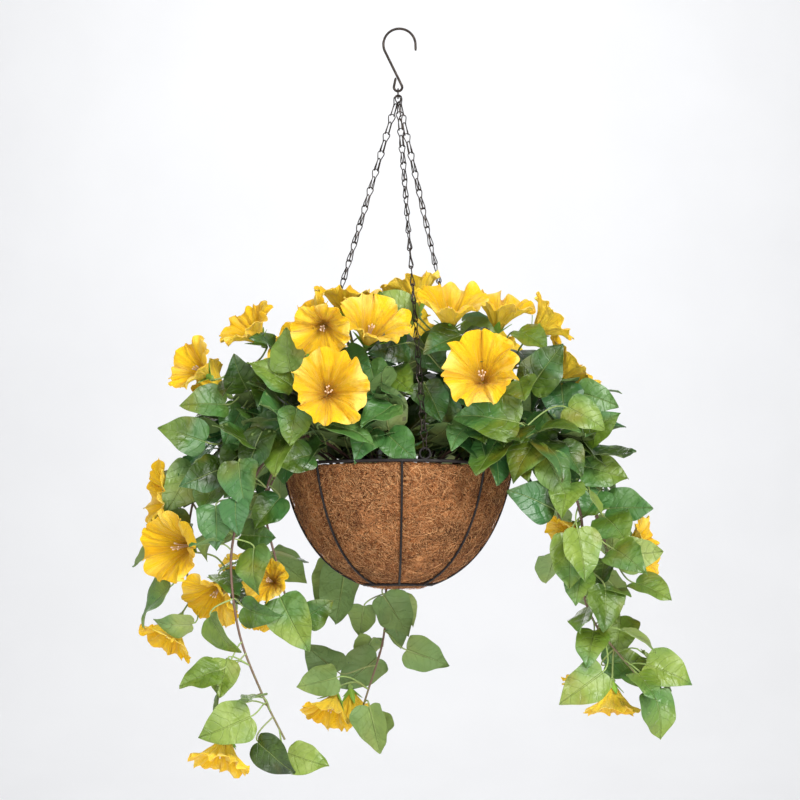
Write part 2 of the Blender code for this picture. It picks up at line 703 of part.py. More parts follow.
def trumpet_surface(pose):
    """The corolla as an open surface: rings of 5, 5 and 10 points, the last waved into five lobes."""
    across, beside = frame_of(pose.axis)
    points, rings = [], []
    for level, (depth, radius, count) in enumerate(TRUMPET):
        ring = []
        for i in range(count):
            angle = 2 * math.pi * i / count + pose.turn
            last = level == len(TRUMPET) - 1
            lobe = math.cos(5 * (angle - pose.turn)) if last else 0.0
            reach = radius * (1 + LOBE * lobe) * pose.size
            rise = (depth - RUFFLE * lobe) * pose.size
            ring.append(len(points))
            points.append(pose.base + pose.axis * rise + (across * math.cos(angle) + beside * math.sin(angle)) * reach)
        rings.append(ring)
    faces = []
    for inner, outer in zip(rings, rings[1:]):
        faces += stitch(inner, outer)
    return points, faces


def stitch(inner, outer):
    """Triangles between two rings that share their start, walked round together by angle."""
    faces, i, o = [], 0, 0
    while i < len(inner) or o < len(outer):
        if (o + 0.5) / len(outer) <= (i + 0.5) / len(inner) and o < len(outer) or i == len(inner):
            faces.append((inner[i % len(inner)], outer[o], outer[(o + 1) % len(outer)]))
            o += 1
        else:
            faces.append((inner[i], outer[o % len(outer)], inner[(i + 1) % len(inner)]))
            i += 1
    return faces


def pedicel_line(stem_name, joint, pose):
    """From the stem, bowed, to the calyx just behind the corolla."""
    root = Vector(STEMS[stem_name].route[joint]) * MM
    end = pose.base - pose.axis * (0.008 * pose.size)
    reach = (end - root).length
    bow = root.lerp(end, 0.55) - pose.axis * (0.22 * reach)
    return [root, bow, end, pose.base - pose.axis * (2 * GAP)]


def tube_surface(line, radii):
    """A four-sided tube that a round wire of these radii fits inside, for testing only."""
    points, faces = [], []
    for i, (point, radius) in enumerate(zip(line, radii)):
        leg = (line[min(i + 1, len(line) - 1)] - line[max(i - 1, 0)]).normalized()
        across, beside = frame_of(leg)
        for k in range(4):
            angle = math.pi * k / 2
            points.append(point + (across * math.cos(angle) + beside * math.sin(angle)) * radius * math.sqrt(2))
    for i in range(len(line) - 1):
        for k in range(4):
            a, b = 4 * i + k, 4 * i + (k + 1) % 4
            faces += [(a, b, a + 4), (b, b + 4, a + 4)]
    return points, faces


def place_blooms(space):
    """A clear pose for each bloom, or None, with its pedicel."""
    placed = []
    for number, bloom in enumerate(BLOOMS):
        chosen = None
        for pose in bloom_candidates(number):
            surface = trumpet_surface(pose)
            guard = shell(*surface, PETAL_WALL + 2 * CLEAR)
            line = pedicel_line(bloom.stem, bloom.joint, pose)
            stalk = tube_surface(shortened(line), [PEDICEL_WIRE * flare + CLEAR for flare in PEDICEL_FLARE])
            if space.is_clear(*guard) and space.is_clear(*stalk, ignore=(bloom.stem,)):
                chosen = pose
                space.add(*shell(*surface, PETAL_WALL), owner=f"bloom_{number}")
                space.add(*tube_surface(line, [PEDICEL_WIRE * flare for flare in PEDICEL_FLARE]), owner=bloom.stem)
                break
        placed.append(chosen)
        if chosen is None:
            print(f"bloom {number + 1} found no clear place")
    return placed


def shortened(line):
    """The line less its first stretch, which lies inside the stem."""
    start = line[0].lerp(line[1], min(0.4, 0.006 / (line[1] - line[0]).length))
    return [start, *line[1:]]


def build_bloom(number, pose, collection, material):
    points, faces = trumpet_surface(pose)
    bloom = mesh_object(f"bloom_{number + 1:02d}", points, faces, collection, material)
    add_wall(bloom, PETAL_WALL)
    return bloom


# ---------------------------------------------------------------- leaves


def stray_leaf(pose, facing, bank, draw):
    """The pose as given, then tries that stray further and further from it."""
    for attempt in range(LEAF_TRIES):
        stray = attempt / LEAF_TRIES
        base = pose.base + Vector(draw.normal(0, 0.016 * stray, 3))
        along = (pose.along + Vector(draw.normal(0, 0.55 * stray, 3))).normalized()
        side = along.cross(facing).normalized()
        turn = math.radians(bank + draw.normal(0, 45 * stray))
        up = side.cross(along) * math.cos(turn) + side * math.sin(turn)
        yield LeafPose(pose.root, base, along, up, pose.length * (1 - 0.2 * stray))


def root_on(route, base):
    """The point of a stem that a leaf or flower stalk grows from: level with its base, then a little back."""
    marks = [a.lerp(b, step / 10) for a, b in zip(route[1:], route[2:]) for step in range(10)]
    nearest = min(range(len(marks)), key=lambda i: (marks[i] - base).length)
    reach = 0.45 * (marks[nearest] - base).length
    while nearest > 0 and reach > 0:
        reach -= (marks[nearest] - marks[nearest - 1]).length
        nearest -= 1
    return marks[nearest]


def set_leaves(stem_number, stem):
    """Candidates for each leaf that is set out: its petiole leaves the stem a little before the blade."""
    route = [Vector(p) * MM for p in stem.route]
    for number, (base, tip, bank) in enumerate(stem.leaves):
        draw = np.random.default_rng([11, stem_number, number])
        base, tip = Vector(base) * MM, Vector(tip) * MM
        facing = Vector((0.25 * draw.normal(), -1 if base.y < 0.06 else 1, 0.35 + 0.25 * draw.normal()))
        pose = LeafPose(root_on(route, base), base, (tip - base).normalized(), facing, (tip - base).length)
        yield stray_leaf(pose, facing, bank + draw.uniform(-18, 18), draw)


def whorl_leaves(stem_number, stem):
    """Candidates for each leaf that follows the rule: it leaves the stem at its heading, and droops."""
    number = 0
    for joint, headings in stem.whorls.items():
        for back, heading in zip((0.15, 0.5, 0.8), headings):
            draw = np.random.default_rng([13, stem_number, number])
            number += 1
            root = Vector(stem.route[joint]).lerp(Vector(stem.route[joint - 1]), back) * MM
            turn = math.radians(heading + draw.uniform(-12, 12))
            fall = math.radians(draw.uniform(15, 75))
            out = Vector((math.cos(turn), math.sin(turn), 0))
            along = out * math.cos(fall) - Vector((0, 0, math.sin(fall)))
            base = root + (out + Vector((0, 0, 0.3)) + along * 0.3).normalized() * draw.uniform(0.018, 0.030)
            facing = out * math.sin(fall) + Vector((0, 0, math.cos(fall)))
            pose = LeafPose(root, base, along, facing, draw.uniform(0.044, 0.058))
            yield stray_leaf(pose, facing, draw.uniform(-30, 30), draw)


def heart_point(pose, across, along):
    """A point of the blade: across and along are shares of its length. The halves fold up and the tip arches down."""
    side = pose.along.cross(pose.up)
    lift = LEAF_FOLD * abs(across) - LEAF_ARCH * along * abs(along)
    return pose.base + (side * across + pose.along * along + pose.up * lift) * pose.length


def leaf_surface(pose):
    """Petiole strip and heart-shaped blade as one open surface of triangles."""
    side = pose.along.cross(pose.up) * PETIOLE_HALF
    points = []
    for middle in (pose.root, pose.base):
        points += [middle - side, middle + side]
    points += [heart_point(pose, -x, y) for x, y in HEART]
    points += [heart_point(pose, x, y) for x, y in HEART]
    points.append(heart_point(pose, 0.0, 1.0))
    left, right, tip = 4, 6, 8
    faces = [(0, 1, 3), (0, 3, 2), (2, 3, tip)]
    faces += [(2, left + 1, left), (2, tip, left + 1), (3, right, right + 1), (3, right + 1, tip)]
    return points, faces


def blade_only(points, faces):
    """The blade's part of a leaf's surface, without the petiole strip."""
    return points[2:], [tuple(i - 2 for i in face) for face in faces if min(face) >= 2]


def grow_leaves(space):
    """A clear pose for each leaf that finds one, by stem."""
    grown = {name: [] for name in STEMS}
    for kind in (set_leaves, whorl_leaves):
        for stem_number, (name, stem) in enumerate(STEMS.items()):
            for number, candidates in enumerate(kind(stem_number, stem)):
                pose = first_clear_leaf(space, name, candidates)
                if pose is None:
                    print(f"{name}: {kind.__name__} {number + 1} found no clear place")
                    continue
                grown[name].append(pose)
                space.add(*shell(*leaf_surface(pose), LEAF_WALL), owner=name + "_leaf")
    return grown


def first_clear_leaf(space, name, candidates):
    for pose in candidates:
        points, faces = leaf_surface(pose)
        blade = shell(*blade_only(points, faces), LEAF_WALL + 2 * CLEAR)
        stalk = tube_surface(shortened([pose.root, pose.base]), 2 * [PETIOLE_HALF + CLEAR])
        if space.is_clear(*blade) and space.is_clear(*stalk, ignore=(name,)):
            return pose
    return None


# ---------------------------------------------------------------- leafy stems


def build_leafy_stem(name, stem, leaves, stalks, collection, material):
    """Stem, leaves and flower stalks of one plant stem, fused."""
    route = [Vector(p) * MM for p in stem.route]
    body = wire(name, route, STEM_WIRE, collection, material, radii=np.linspace(1, STEM_TAPER, len(route)))
    joined = new_collection("joined")
    for pose in leaves:
        leaf = mesh_object("leaf", *leaf_surface(pose), joined)
        add_wall(leaf, LEAF_WALL)
    for line, pose in stalks:
        wire("pedicel", line, PEDICEL_WIRE, joined, radii=PEDICEL_FLARE)
    boolean(body, "UNION", joined)
    bpy.data.collections.remove(joined)
    return body


def main():
    clear_scene()
    basket = new_collection("petunia_hanging_basket")
    black = new_material("black_wire", (0.035, 0.03, 0.03), 0.45, 0.6)
    bronze = new_material("dark_chain", (0.10, 0.08, 0.07), 0.4, 0.9)
    coco = new_material("coco_fibre", (0.36, 0.17, 0.07), 0.95)
    soil = new_material("dark_fill", (0.05, 0.035, 0.02), 1.0)
    green = new_material("leaf_green", (0.09, 0.25, 0.05), 0.45)
    yellow = new_material("petal_yellow", (0.95, 0.62, 0.03), 0.6)

    wire("hook", hook_line(), HOOK_WIRE, basket, bronze)
    ring = circle(Vector((0, 0, ring_centre_z())), Vector((0, 1, 0)), Vector((0, 0, 1)), RING_RADIUS, 16)
    wire("gather_ring", ring, RING_WIRE, basket, bronze, closed=True)
    chains = [build_chain(side, basket, bronze) for side in LOOP_ANGLES]
    frame = build_wire_basket(basket, black)
    liner = build_liner(basket, coco)
    fill = build_fill(basket, soil)

    space = Space()
    for obj in [*chains, frame, liner]:
        space.add_object(obj)
    space.add_object(fill, "fill")
    for name, stem in STEMS.items():
        route = [Vector(p) * MM for p in stem.route]
        radii = np.linspace(1, STEM_TAPER, len(route)) * STEM_WIRE
        if not space.is_clear(*tube_surface(route[1:], radii[1:] + CLEAR)):
            print(f"{name} crosses something")
        space.add(*tube_surface(route, radii), owner=name)
    poses = place_blooms(space)
    leaves = grow_leaves(space)

    for name, stem in STEMS.items():
        stalks = [
            (pedicel_line(name, bloom.joint, pose), pose)
            for bloom, pose in zip(BLOOMS, poses)
            if bloom.stem == name and pose
        ]
        build_leafy_stem(name, stem, leaves[name], stalks, basket, green)
    for number, pose in enumerate(poses):
        if pose:
            build_bloom(number, pose, basket, yellow)
    print("leaves:", sum(len(found) for found in leaves.values()), "blooms:", sum(p is not None for p in poses))


main()
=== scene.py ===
"""A hanging basket of yellow petunias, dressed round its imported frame.

The wire bowl, chains, coir liner, leafy stems and blooms are rebuilt as fine surfaces where the frame's own
solids lie. Metres, +Z up, -Y to the front, with the origin where the hook bears on its bracket.
"""

from __future__ import annotations

import json
import logging
import math
from collections.abc import Iterator, Sequence
from dataclasses import dataclass, field
from enum import Enum

import bpy
import numpy as np
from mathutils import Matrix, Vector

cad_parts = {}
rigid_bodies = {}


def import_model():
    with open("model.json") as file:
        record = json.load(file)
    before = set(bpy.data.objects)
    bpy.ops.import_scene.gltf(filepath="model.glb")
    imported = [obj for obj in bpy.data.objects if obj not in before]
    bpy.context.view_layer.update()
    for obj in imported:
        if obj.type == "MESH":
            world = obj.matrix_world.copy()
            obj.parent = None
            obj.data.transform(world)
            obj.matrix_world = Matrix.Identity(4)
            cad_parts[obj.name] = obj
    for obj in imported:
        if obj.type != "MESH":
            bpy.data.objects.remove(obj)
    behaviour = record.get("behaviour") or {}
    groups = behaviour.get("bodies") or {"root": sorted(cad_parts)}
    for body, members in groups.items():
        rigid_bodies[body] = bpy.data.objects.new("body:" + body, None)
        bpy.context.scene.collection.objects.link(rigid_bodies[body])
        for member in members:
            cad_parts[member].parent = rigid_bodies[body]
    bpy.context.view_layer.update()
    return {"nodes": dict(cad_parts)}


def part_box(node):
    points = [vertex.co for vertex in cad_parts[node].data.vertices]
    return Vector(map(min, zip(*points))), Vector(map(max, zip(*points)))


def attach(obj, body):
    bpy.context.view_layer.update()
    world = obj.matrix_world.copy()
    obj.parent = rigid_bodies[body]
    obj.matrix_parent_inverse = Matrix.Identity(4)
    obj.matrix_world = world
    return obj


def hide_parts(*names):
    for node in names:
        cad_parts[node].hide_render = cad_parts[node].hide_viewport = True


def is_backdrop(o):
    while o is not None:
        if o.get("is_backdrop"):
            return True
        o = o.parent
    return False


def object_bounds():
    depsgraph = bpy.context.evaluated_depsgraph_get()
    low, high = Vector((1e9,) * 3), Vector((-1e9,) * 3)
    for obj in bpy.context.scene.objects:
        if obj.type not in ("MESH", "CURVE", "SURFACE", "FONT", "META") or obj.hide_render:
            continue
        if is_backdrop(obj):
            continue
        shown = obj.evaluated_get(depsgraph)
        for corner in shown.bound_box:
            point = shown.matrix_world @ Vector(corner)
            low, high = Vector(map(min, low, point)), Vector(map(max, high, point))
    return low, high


Draw = np.random.Generator
Material = bpy.types.Material
Socket = bpy.types.NodeSocket

LOG = logging.getLogger("petunia_basket")
MM = 0.001
UP = np.array((0.0, 0.0, 1.0))


class Body(str, Enum):
    """The frame's moving bodies."""

    HOOK = "hook"
    RING = "ring"
    BASKET = "basket"


class Slot(str, Enum):
    """The record's material slots."""

    BRONZE = "dark_bronze"
    WIRE = "black_wire"
    COIR = "coco_fibre"
    FILL = "dark_fill"
    LEAF = "leaf_green"
    PETAL = "petal_yellow"


# ---------------------------------------------------------------- surfaces as arrays


@dataclass
class Skin:
    """Part of a mesh, held as arrays.

    Attributes:
        points: (n, 3) places of the vertices.
        corners: vertex number of each face corner, one face after another.
        sizes: number of corners of each face.
        uv: (n, 2) pattern coordinates.
        tone: (n,) a shade from 0 to 1 that the finish turns into a colour.
        under: (n,) 1 on an underside and 0 elsewhere.
        slot: (faces,) number of the material on each face.
    """

    points: np.ndarray
    corners: np.ndarray
    sizes: np.ndarray
    uv: np.ndarray
    tone: np.ndarray
    under: np.ndarray
    slot: np.ndarray


def unit(vectors: np.ndarray) -> np.ndarray:
    """Vectors scaled to length 1 along the last axis."""
    return vectors / np.maximum(np.linalg.norm(vectors, axis=-1, keepdims=True), 1e-12)


def grid_quads(rows: int, cols: int, round_cols: bool = False, round_rows: bool = False) -> np.ndarray:
    """Vertex numbers of a grid's quads, for points that run row by row.

    Args:
        rows: number of rows of points.
        cols: number of points in a row.
        round_cols: whether the last column joins the first.
        round_rows: whether the last row joins the first.

    Returns:
        (quads, 4) vertex numbers, anticlockwise where columns run right and rows run up.
    """
    quad_rows = rows if round_rows else rows - 1
    quad_cols = cols if round_cols else cols - 1
    row, col = np.meshgrid(np.arange(quad_rows), np.arange(quad_cols), indexing="ij")
    row_after, col_after = (row + 1) % rows, (col + 1) % cols
    around = [row * cols + col, row * cols + col_after, row_after * cols + col_after, row_after * cols + col]
    return np.stack(around, axis=-1).reshape(-1, 4)


def repeated(faces: np.ndarray, count: int, step: int) -> np.ndarray:
    """The faces again for each of several copies whose vertices follow each other."""
    return (faces[None] + (np.arange(count) * step)[:, None, None]).reshape(-1, faces.shape[1])


def joined(skins: Sequence[Skin]) -> Skin:
    """Several skins as one."""
    starts = np.cumsum([0] + [len(s.points) for s in skins[:-1]])
    return Skin(
        np.concatenate([s.points for s in skins]),
        np.concatenate([s.corners + start for s, start in zip(skins, starts)]),
        np.concatenate([s.sizes for s in skins]),
        np.concatenate([s.uv for s in skins]),
        np.concatenate([s.tone for s in skins]),
        np.concatenate([s.under for s in skins]),
        np.concatenate([s.slot for s in skins]),
    )


def carried(tangent: np.ndarray, closed: bool) -> np.ndarray:
    """A direction square to each path, carried along it without twist.

    At each station the last direction loses its part along the tangent. Round a closed path, what turn is
    left at the end is spread evenly over it.

    Args:
        tangent: (paths, stations, 3) unit tangents.
        closed: whether each path ends where it starts.

    Returns:
        (paths, stations, 3) unit directions.
    """
    length = tangent.shape[1]
    helper = np.eye(3)[np.argmin(np.abs(tangent[:, 0]), axis=1)]
    across = np.empty_like(tangent)
    across[:, 0] = unit(np.cross(tangent[:, 0], helper))
    for i in range(1, length):
        last, now = across[:, i - 1], tangent[:, i]
        across[:, i] = unit(last - now * (last * now).sum(-1, keepdims=True))
    if closed:
        last, now = across[:, -1], tangent[:, 0]
        end = unit(last - now * (last * now).sum(-1, keepdims=True))
        sine = (np.cross(end, across[:, 0]) * now).sum(-1)
        turn = np.arctan2(sine, (end * across[:, 0]).sum(-1))[:, None] * np.arange(length) / length
        beside = np.cross(tangent, across)
        across = across * np.cos(turn)[..., None] + beside * np.sin(turn)[..., None]
    return across


def tubes(
    paths: np.ndarray,
    radius: float | np.ndarray,
    sides: int,
    closed: bool = False,
    tone: float | np.ndarray = 0.5,
    slot: int = 0,
) -> Skin:
    """Round tubes along paths of equal length.

    A ring's point is centre + radius * (cos(a) * across + sin(a) * beside), for equal steps of a.

    Args:
        paths: (paths, stations, 3) or (stations, 3) centrelines.
        radius: one radius, or one for each station.
        sides: number of points round a ring.
        closed: whether each path ends where it starts. An open tube gets flat caps.
        tone: one tone, or one for each station.
        slot: material number.

    Returns:
        The tubes, with uv as the turn and the share of the length.
    """
    paths = np.asarray(paths, float).reshape((-1, *np.shape(paths)[-2:]))
    count, length, _ = paths.shape
    if closed:
        tangent = unit(np.roll(paths, -1, 1) - np.roll(paths, 1, 1))
    else:
        tangent = unit(np.gradient(paths, axis=1))
    across = carried(tangent, closed)
    beside = np.cross(tangent, across)
    angle = 2 * math.pi * np.arange(sides) / sides
    ring = across[:, :, None] * np.cos(angle)[:, None] + beside[:, :, None] * np.sin(angle)[:, None]
    size = np.broadcast_to(radius, (count, length))
    points = paths[:, :, None] + size[..., None, None] * ring
    quads = repeated(grid_quads(length, sides, round_cols=True, round_rows=closed), count, length * sides)
    corners, sizes = [quads.ravel()], [np.full(len(quads), 4)]
    if not closed:
        lids = np.stack([np.arange(sides)[::-1], np.arange(sides) + (length - 1) * sides])
        lids = repeated(lids, count, length * sides)
        corners.append(lids.ravel())
        sizes.append(np.full(len(lids), sides))
    share = np.broadcast_to(np.linspace(0, 1, length)[:, None], (length, sides))
    around = np.broadcast_to(np.arange(sides) / sides, (length, sides))
    uv = np.tile(np.stack([around, share], -1).reshape(-1, 2), (count, 1))
    tones = np.broadcast_to(np.broadcast_to(tone, (count, length))[..., None], (count, length, sides)).ravel()
    number = count * length * sides
    sizes = np.concatenate(sizes)
    return Skin(
        points.reshape(-1, 3), np.concatenate(corners), sizes, uv, tones.astype(float), np.zeros(number),
        np.full(len(sizes), slot),
    )


def slopes(points: np.ndarray, axis: int, wrapped: bool) -> np.ndarray:
    """Differences along one axis of a grid, taken across the seam where it is wrapped."""
    if wrapped:
        return (np.roll(points, -1, axis) - np.roll(points, 1, axis)) / 2
    return np.gradient(points, axis=axis)


def sheets(
    points: np.ndarray, wall: float, uv: np.ndarray, tone: np.ndarray, wrapped: bool = False, slot: int = 0
) -> Skin:
    """Closed thin walls round grids of points.

    Each point gives one vertex half the wall above the surface and one half below it, along the normal, which
    is the row direction's slope crossed with the column direction's. The open edges are closed by a rim.

    Args:
        points: (sheets, rows, cols, 3) middle surfaces.
        wall: thickness.
        uv: (rows, cols, 2) pattern coordinates, the same on each sheet.
        tone: (sheets, 1, 1) one tone for each sheet, or (sheets, rows, cols) one for each point.
        wrapped: whether the last column joins the first.
        slot: material number.

    Returns:
        The walls, with under 1 on the lower side.
    """
    count, rows, cols, _ = points.shape
    normal = unit(np.cross(slopes(points, 2, wrapped), slopes(points, 1, False)))
    both = np.stack([points + normal * wall / 2, points - normal * wall / 2], axis=1)
    size = rows * cols
    upper = grid_quads(rows, cols, round_cols=wrapped)
    if wrapped:
        first, last = np.arange(cols), np.arange(cols) + (rows - 1) * cols
        first_edge = np.stack([first, np.roll(first, -1)], 1)
        last_edge = np.stack([np.roll(last, -1), last], 1)
        edge = np.concatenate([first_edge, last_edge])
    else:
        numbers = np.arange(size).reshape(rows, cols)
        loop = np.concatenate([numbers[0, :-1], numbers[:-1, -1], numbers[-1, :0:-1], numbers[:0:-1, 0]])
        edge = np.stack([loop, np.roll(loop, -1)], 1)
    rim = np.stack([edge[:, 1], edge[:, 0], edge[:, 0] + size, edge[:, 1] + size], 1)
    faces = repeated(np.concatenate([upper, upper[:, ::-1] + size, rim]), count, 2 * size)
    shades = np.broadcast_to(tone, (count, rows, cols))[:, None].repeat(2, axis=1).ravel()
    under = np.tile(np.repeat([0.0, 1.0], size), count)
    flat = np.tile(uv.reshape(-1, 2), (2 * count, 1))
    sizes, slots = np.full(len(faces), 4), np.full(len(faces), slot)
    return Skin(both.reshape(-1, 3), faces.ravel(), sizes, flat, shades, under, slots)


def turned(radius: np.ndarray, height: np.ndarray, angle: np.ndarray) -> np.ndarray:
    """(..., 3) points at a radius, a height and an angle round the upright axis."""
    return np.stack([radius * np.cos(angle), radius * np.sin(angle), height], -1)


def turned_solid(points: np.ndarray) -> Skin:
    """A closed form turned about the upright axis.

    Args:
        points: (rows, around, 3) rings of points, one after another over the surface.

    Returns:
        The form, with a lid on its first and its last ring.
    """
    rows, around, _ = points.shape
    count = rows * around
    quads = grid_quads(rows, around, round_cols=True)
    lids = np.stack([np.arange(around)[::-1], np.arange(around) + (rows - 1) * around])
    corners = np.concatenate([quads[:, ::-1].ravel(), lids[:, ::-1].ravel()])
    sizes = np.concatenate([np.full(len(quads), 4), np.full(2, around)])
    flat, tone, under = np.zeros((count, 2)), np.full(count, 0.5), np.zeros(count)
    return Skin(points.reshape(-1, 3), corners, sizes, flat, tone, under, np.zeros(len(sizes)))


def make_piece(
    name: str, skin: Skin, finishes: Sequence[Material], crease: float = 50.0
) -> bpy.types.Object:
    """A mesh object from a skin, smooth except where faces meet at more than the crease angle in degrees."""
    mesh = bpy.data.meshes.new(name)
    mesh.vertices.add(len(skin.points))
    mesh.vertices.foreach_set("co", skin.points.astype(np.float32).ravel())
    mesh.loops.add(len(skin.corners))
    mesh.loops.foreach_set("vertex_index", skin.corners.astype(np.int32))
    mesh.polygons.add(len(skin.sizes))
    starts = np.concatenate([[0], np.cumsum(skin.sizes)[:-1]])
    mesh.polygons.foreach_set("loop_start", starts.astype(np.int32))
    mesh.polygons.foreach_set("material_index", skin.slot.astype(np.int32))
    mesh.update(calc_edges=True)
    layer = mesh.uv_layers.new(name="pattern")
    layer.data.foreach_set("uv", skin.uv[skin.corners].astype(np.float32).ravel())
    for label, values in (("tone", skin.tone), ("under", skin.under)):
        attribute = mesh.attributes.new(label, "FLOAT", "POINT")
        attribute.data.foreach_set("value", values.astype(np.float32))
    for finish in finishes:
        mesh.materials.append(finish)
    mesh.validate()
    mesh.shade_smooth()
    mesh.set_sharp_from_angle(angle=math.radians(crease))
    piece = bpy.data.objects.new(name, mesh)
    bpy.context.scene.collection.objects.link(piece)
    return piece


def mount(piece: bpy.types.Object, body: Body, slot: Slot, *nodes: str) -> None:
    """The piece rides on its body and stands for the nodes; the slot is not used."""
    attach(piece, body.value)
    if nodes:
        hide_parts(*nodes)
    LOG.info("%s: %d faces", piece.name, len(piece.data.polygons))


# ---------------------------------------------------------------- curves


def bezier(points: Sequence[np.ndarray], steps: int) -> np.ndarray:
    """A cubic Bezier arc: the four points weighted by the Bernstein polynomials of t from 0 to 1.

    Args:
        points: start, two handles and end, of any dimension.
        steps: number of points to return.

    Returns:
        (steps, dimension) points of the arc.
    """
    t = np.linspace(0, 1, steps)[:, None]
    start, first, second, end = (np.asarray(p, float) for p in points)
    return start * (1 - t) ** 3 + first * 3 * t * (1 - t) ** 2 + second * 3 * t**2 * (1 - t) + end * t**3


def through(points: np.ndarray, steps: int, closed: bool = False) -> np.ndarray:
    """A smooth curve through points, by the Catmull-Rom rule.

    At each point the slope is half the chord of its neighbours.

    Args:
        points: (n, 3) points to pass through.
        steps: pieces that each stretch is cut into.
        closed: whether the curve comes back to its first point.

    Returns:
        ((n - 1) * steps + 1, 3) points of the curve, or (n * steps, 3) of a closed one.
    """
    points = np.asarray(points, float)
    if closed:
        padded = np.concatenate([points[-1:], points, points[:2]])
    else:
        padded = np.concatenate([2 * points[:1] - points[1:2], points, 2 * points[-1:] - points[-2:-1]])
    t = (np.arange(steps) / steps)[:, None]
    before, a, b, after = (padded[i : len(padded) - 3 + i, None] for i in range(4))
    square = 2 * before - 5 * a + 4 * b - after
    cube = 3 * a - before - 3 * b + after
    curve = 0.5 * (2 * a + (b - before) * t + square * t**2 + cube * t**3)
    return curve.reshape(-1, 3) if closed else np.concatenate([curve.reshape(-1, 3), points[-1:]])


def arc(radius: float, start: float, end: float, steps: int) -> np.ndarray:
    """(steps, 2) points round a circle's arc, from one angle to another in degrees."""
    turn = np.radians(np.linspace(start, end, steps))
    return radius * np.stack([np.cos(turn), np.sin(turn)], -1)


def circle(
    centre: Sequence[float], across: Sequence[float], up: Sequence[float], radius: float, steps: int
) -> np.ndarray:
    """(steps, 3) points round a circle in the plane of two unit vectors."""
    turn = (2 * math.pi * np.arange(steps) / steps)[:, None]
    return np.asarray(centre) + radius * (np.cos(turn) * np.asarray(across) + np.sin(turn) * np.asarray(up))


# ---------------------------------------------------------------- finishes


class Paint:
    """A Principled material and short ways to add nodes to it."""

    def __init__(self, name: str, roughness: float, metallic: float = 0.0, specular: float = 0.5) -> None:
        """Makes the material and sets what is the same all over it."""
        self.material = bpy.data.materials.new(name)
        self.material.use_nodes = True
        self.tree = self.material.node_tree
        self.shader = self.tree.nodes["Principled BSDF"]
        self.shader.inputs["Roughness"].default_value = roughness
        self.shader.inputs["Metallic"].default_value = metallic
        self.shader.inputs["Specular IOR Level"].default_value = specular

    def node(self, kind: str, inputs: dict | None = None, **settings: object) -> bpy.types.Node:
        """Adds a node.

        Args:
            kind: the node's type.
            inputs: values or sockets for its inputs, by name or number.
            settings: properties of the node.

        Returns:
            The node.
        """
        made = self.tree.nodes.new(kind)
        for key, value in settings.items():
            setattr(made, key, value)
        for key, value in (inputs or {}).items():
            if isinstance(value, Socket):
                self.tree.links.new(value, made.inputs[key])
            else:
                made.inputs[key].default_value = value
        return made

    def math(self, operation: str, a: object, b: object = 0.0, clamp: bool = False) -> Socket:
        """One sum of two numbers or sockets."""
        return self.node("ShaderNodeMath", {0: a, 1: b}, operation=operation, use_clamp=clamp).outputs[0]

    def attribute(self, name: str) -> Socket:
        """A number kept on the mesh."""
        return self.node("ShaderNodeAttribute", attribute_name=name).outputs["Fac"]

    def place(self) -> Socket:
        """Object coordinates."""
        return self.node("ShaderNodeTexCoord").outputs["Object"]

    def pattern(self) -> tuple[Socket, Socket]:
        """The piece's own two pattern coordinates."""
        split = self.node("ShaderNodeSeparateXYZ", {0: self.node("ShaderNodeTexCoord").outputs["UV"]})
        return split.outputs["X"], split.outputs["Y"]

    def noise(
        self, at: Socket, scale: float, detail: float = 3.0, rough: float = 0.55, swirl: float = 0.0
    ) -> Socket:
        """Cloudy noise from 0 to 1."""
        inputs = {"Vector": at, "Scale": scale, "Detail": detail, "Roughness": rough, "Distortion": swirl}
        return self.node("ShaderNodeTexNoise", inputs).outputs["Fac"]

    def spread(self, value: Socket, low: float, high: float, to_low: float, to_high: float) -> Socket:
        """A number mapped from one range to another, held at its ends."""
        inputs = {"Value": value, "From Min": low, "From Max": high, "To Min": to_low, "To Max": to_high}
        return self.node("ShaderNodeMapRange", inputs).outputs["Result"]

    def ramp(self, factor: Socket, stops: Sequence[tuple[float, tuple]]) -> Socket:
        """A colour looked up along stops of (place, colour)."""
        made = self.node("ShaderNodeValToRGB", {"Fac": factor})
        elements = made.color_ramp.elements
        while len(elements) < len(stops):
            elements.new(0.5)
        for element, (where, colour) in zip(elements, stops):
            element.position = where
            element.color = (*colour, 1.0)
        return made.outputs["Color"]

    def mix(self, factor: object, a: object, b: object, blend: str = "MIX") -> Socket:
        """Two colours mixed."""
        made = self.node("ShaderNodeMix", data_type="RGBA", blend_type=blend)
        for socket, value in ((made.inputs[0], factor), (made.inputs[6], a), (made.inputs[7], b)):
            if isinstance(value, Socket):
                self.tree.links.new(value, socket)
            elif isinstance(value, tuple):
                socket.default_value = (*value, 1.0)
            else:
                socket.default_value = value
        return made.outputs[2]

    def colour(self, value: Socket) -> None:
        """Sets the base colour."""
        self.tree.links.new(value, self.shader.inputs["Base Color"])

    def roughness(self, value: Socket) -> None:
        """Sets a roughness that changes over the surface."""
        self.tree.links.new(value, self.shader.inputs["Roughness"])

    def bump(self, height: Socket, depth: float, strength: float = 1.0) -> None:
        """Raises the surface by the height times the depth in metres."""
        made = self.node("ShaderNodeBump", {"Height": height, "Distance": depth, "Strength": strength})
        self.tree.links.new(made.outputs["Normal"], self.shader.inputs["Normal"])


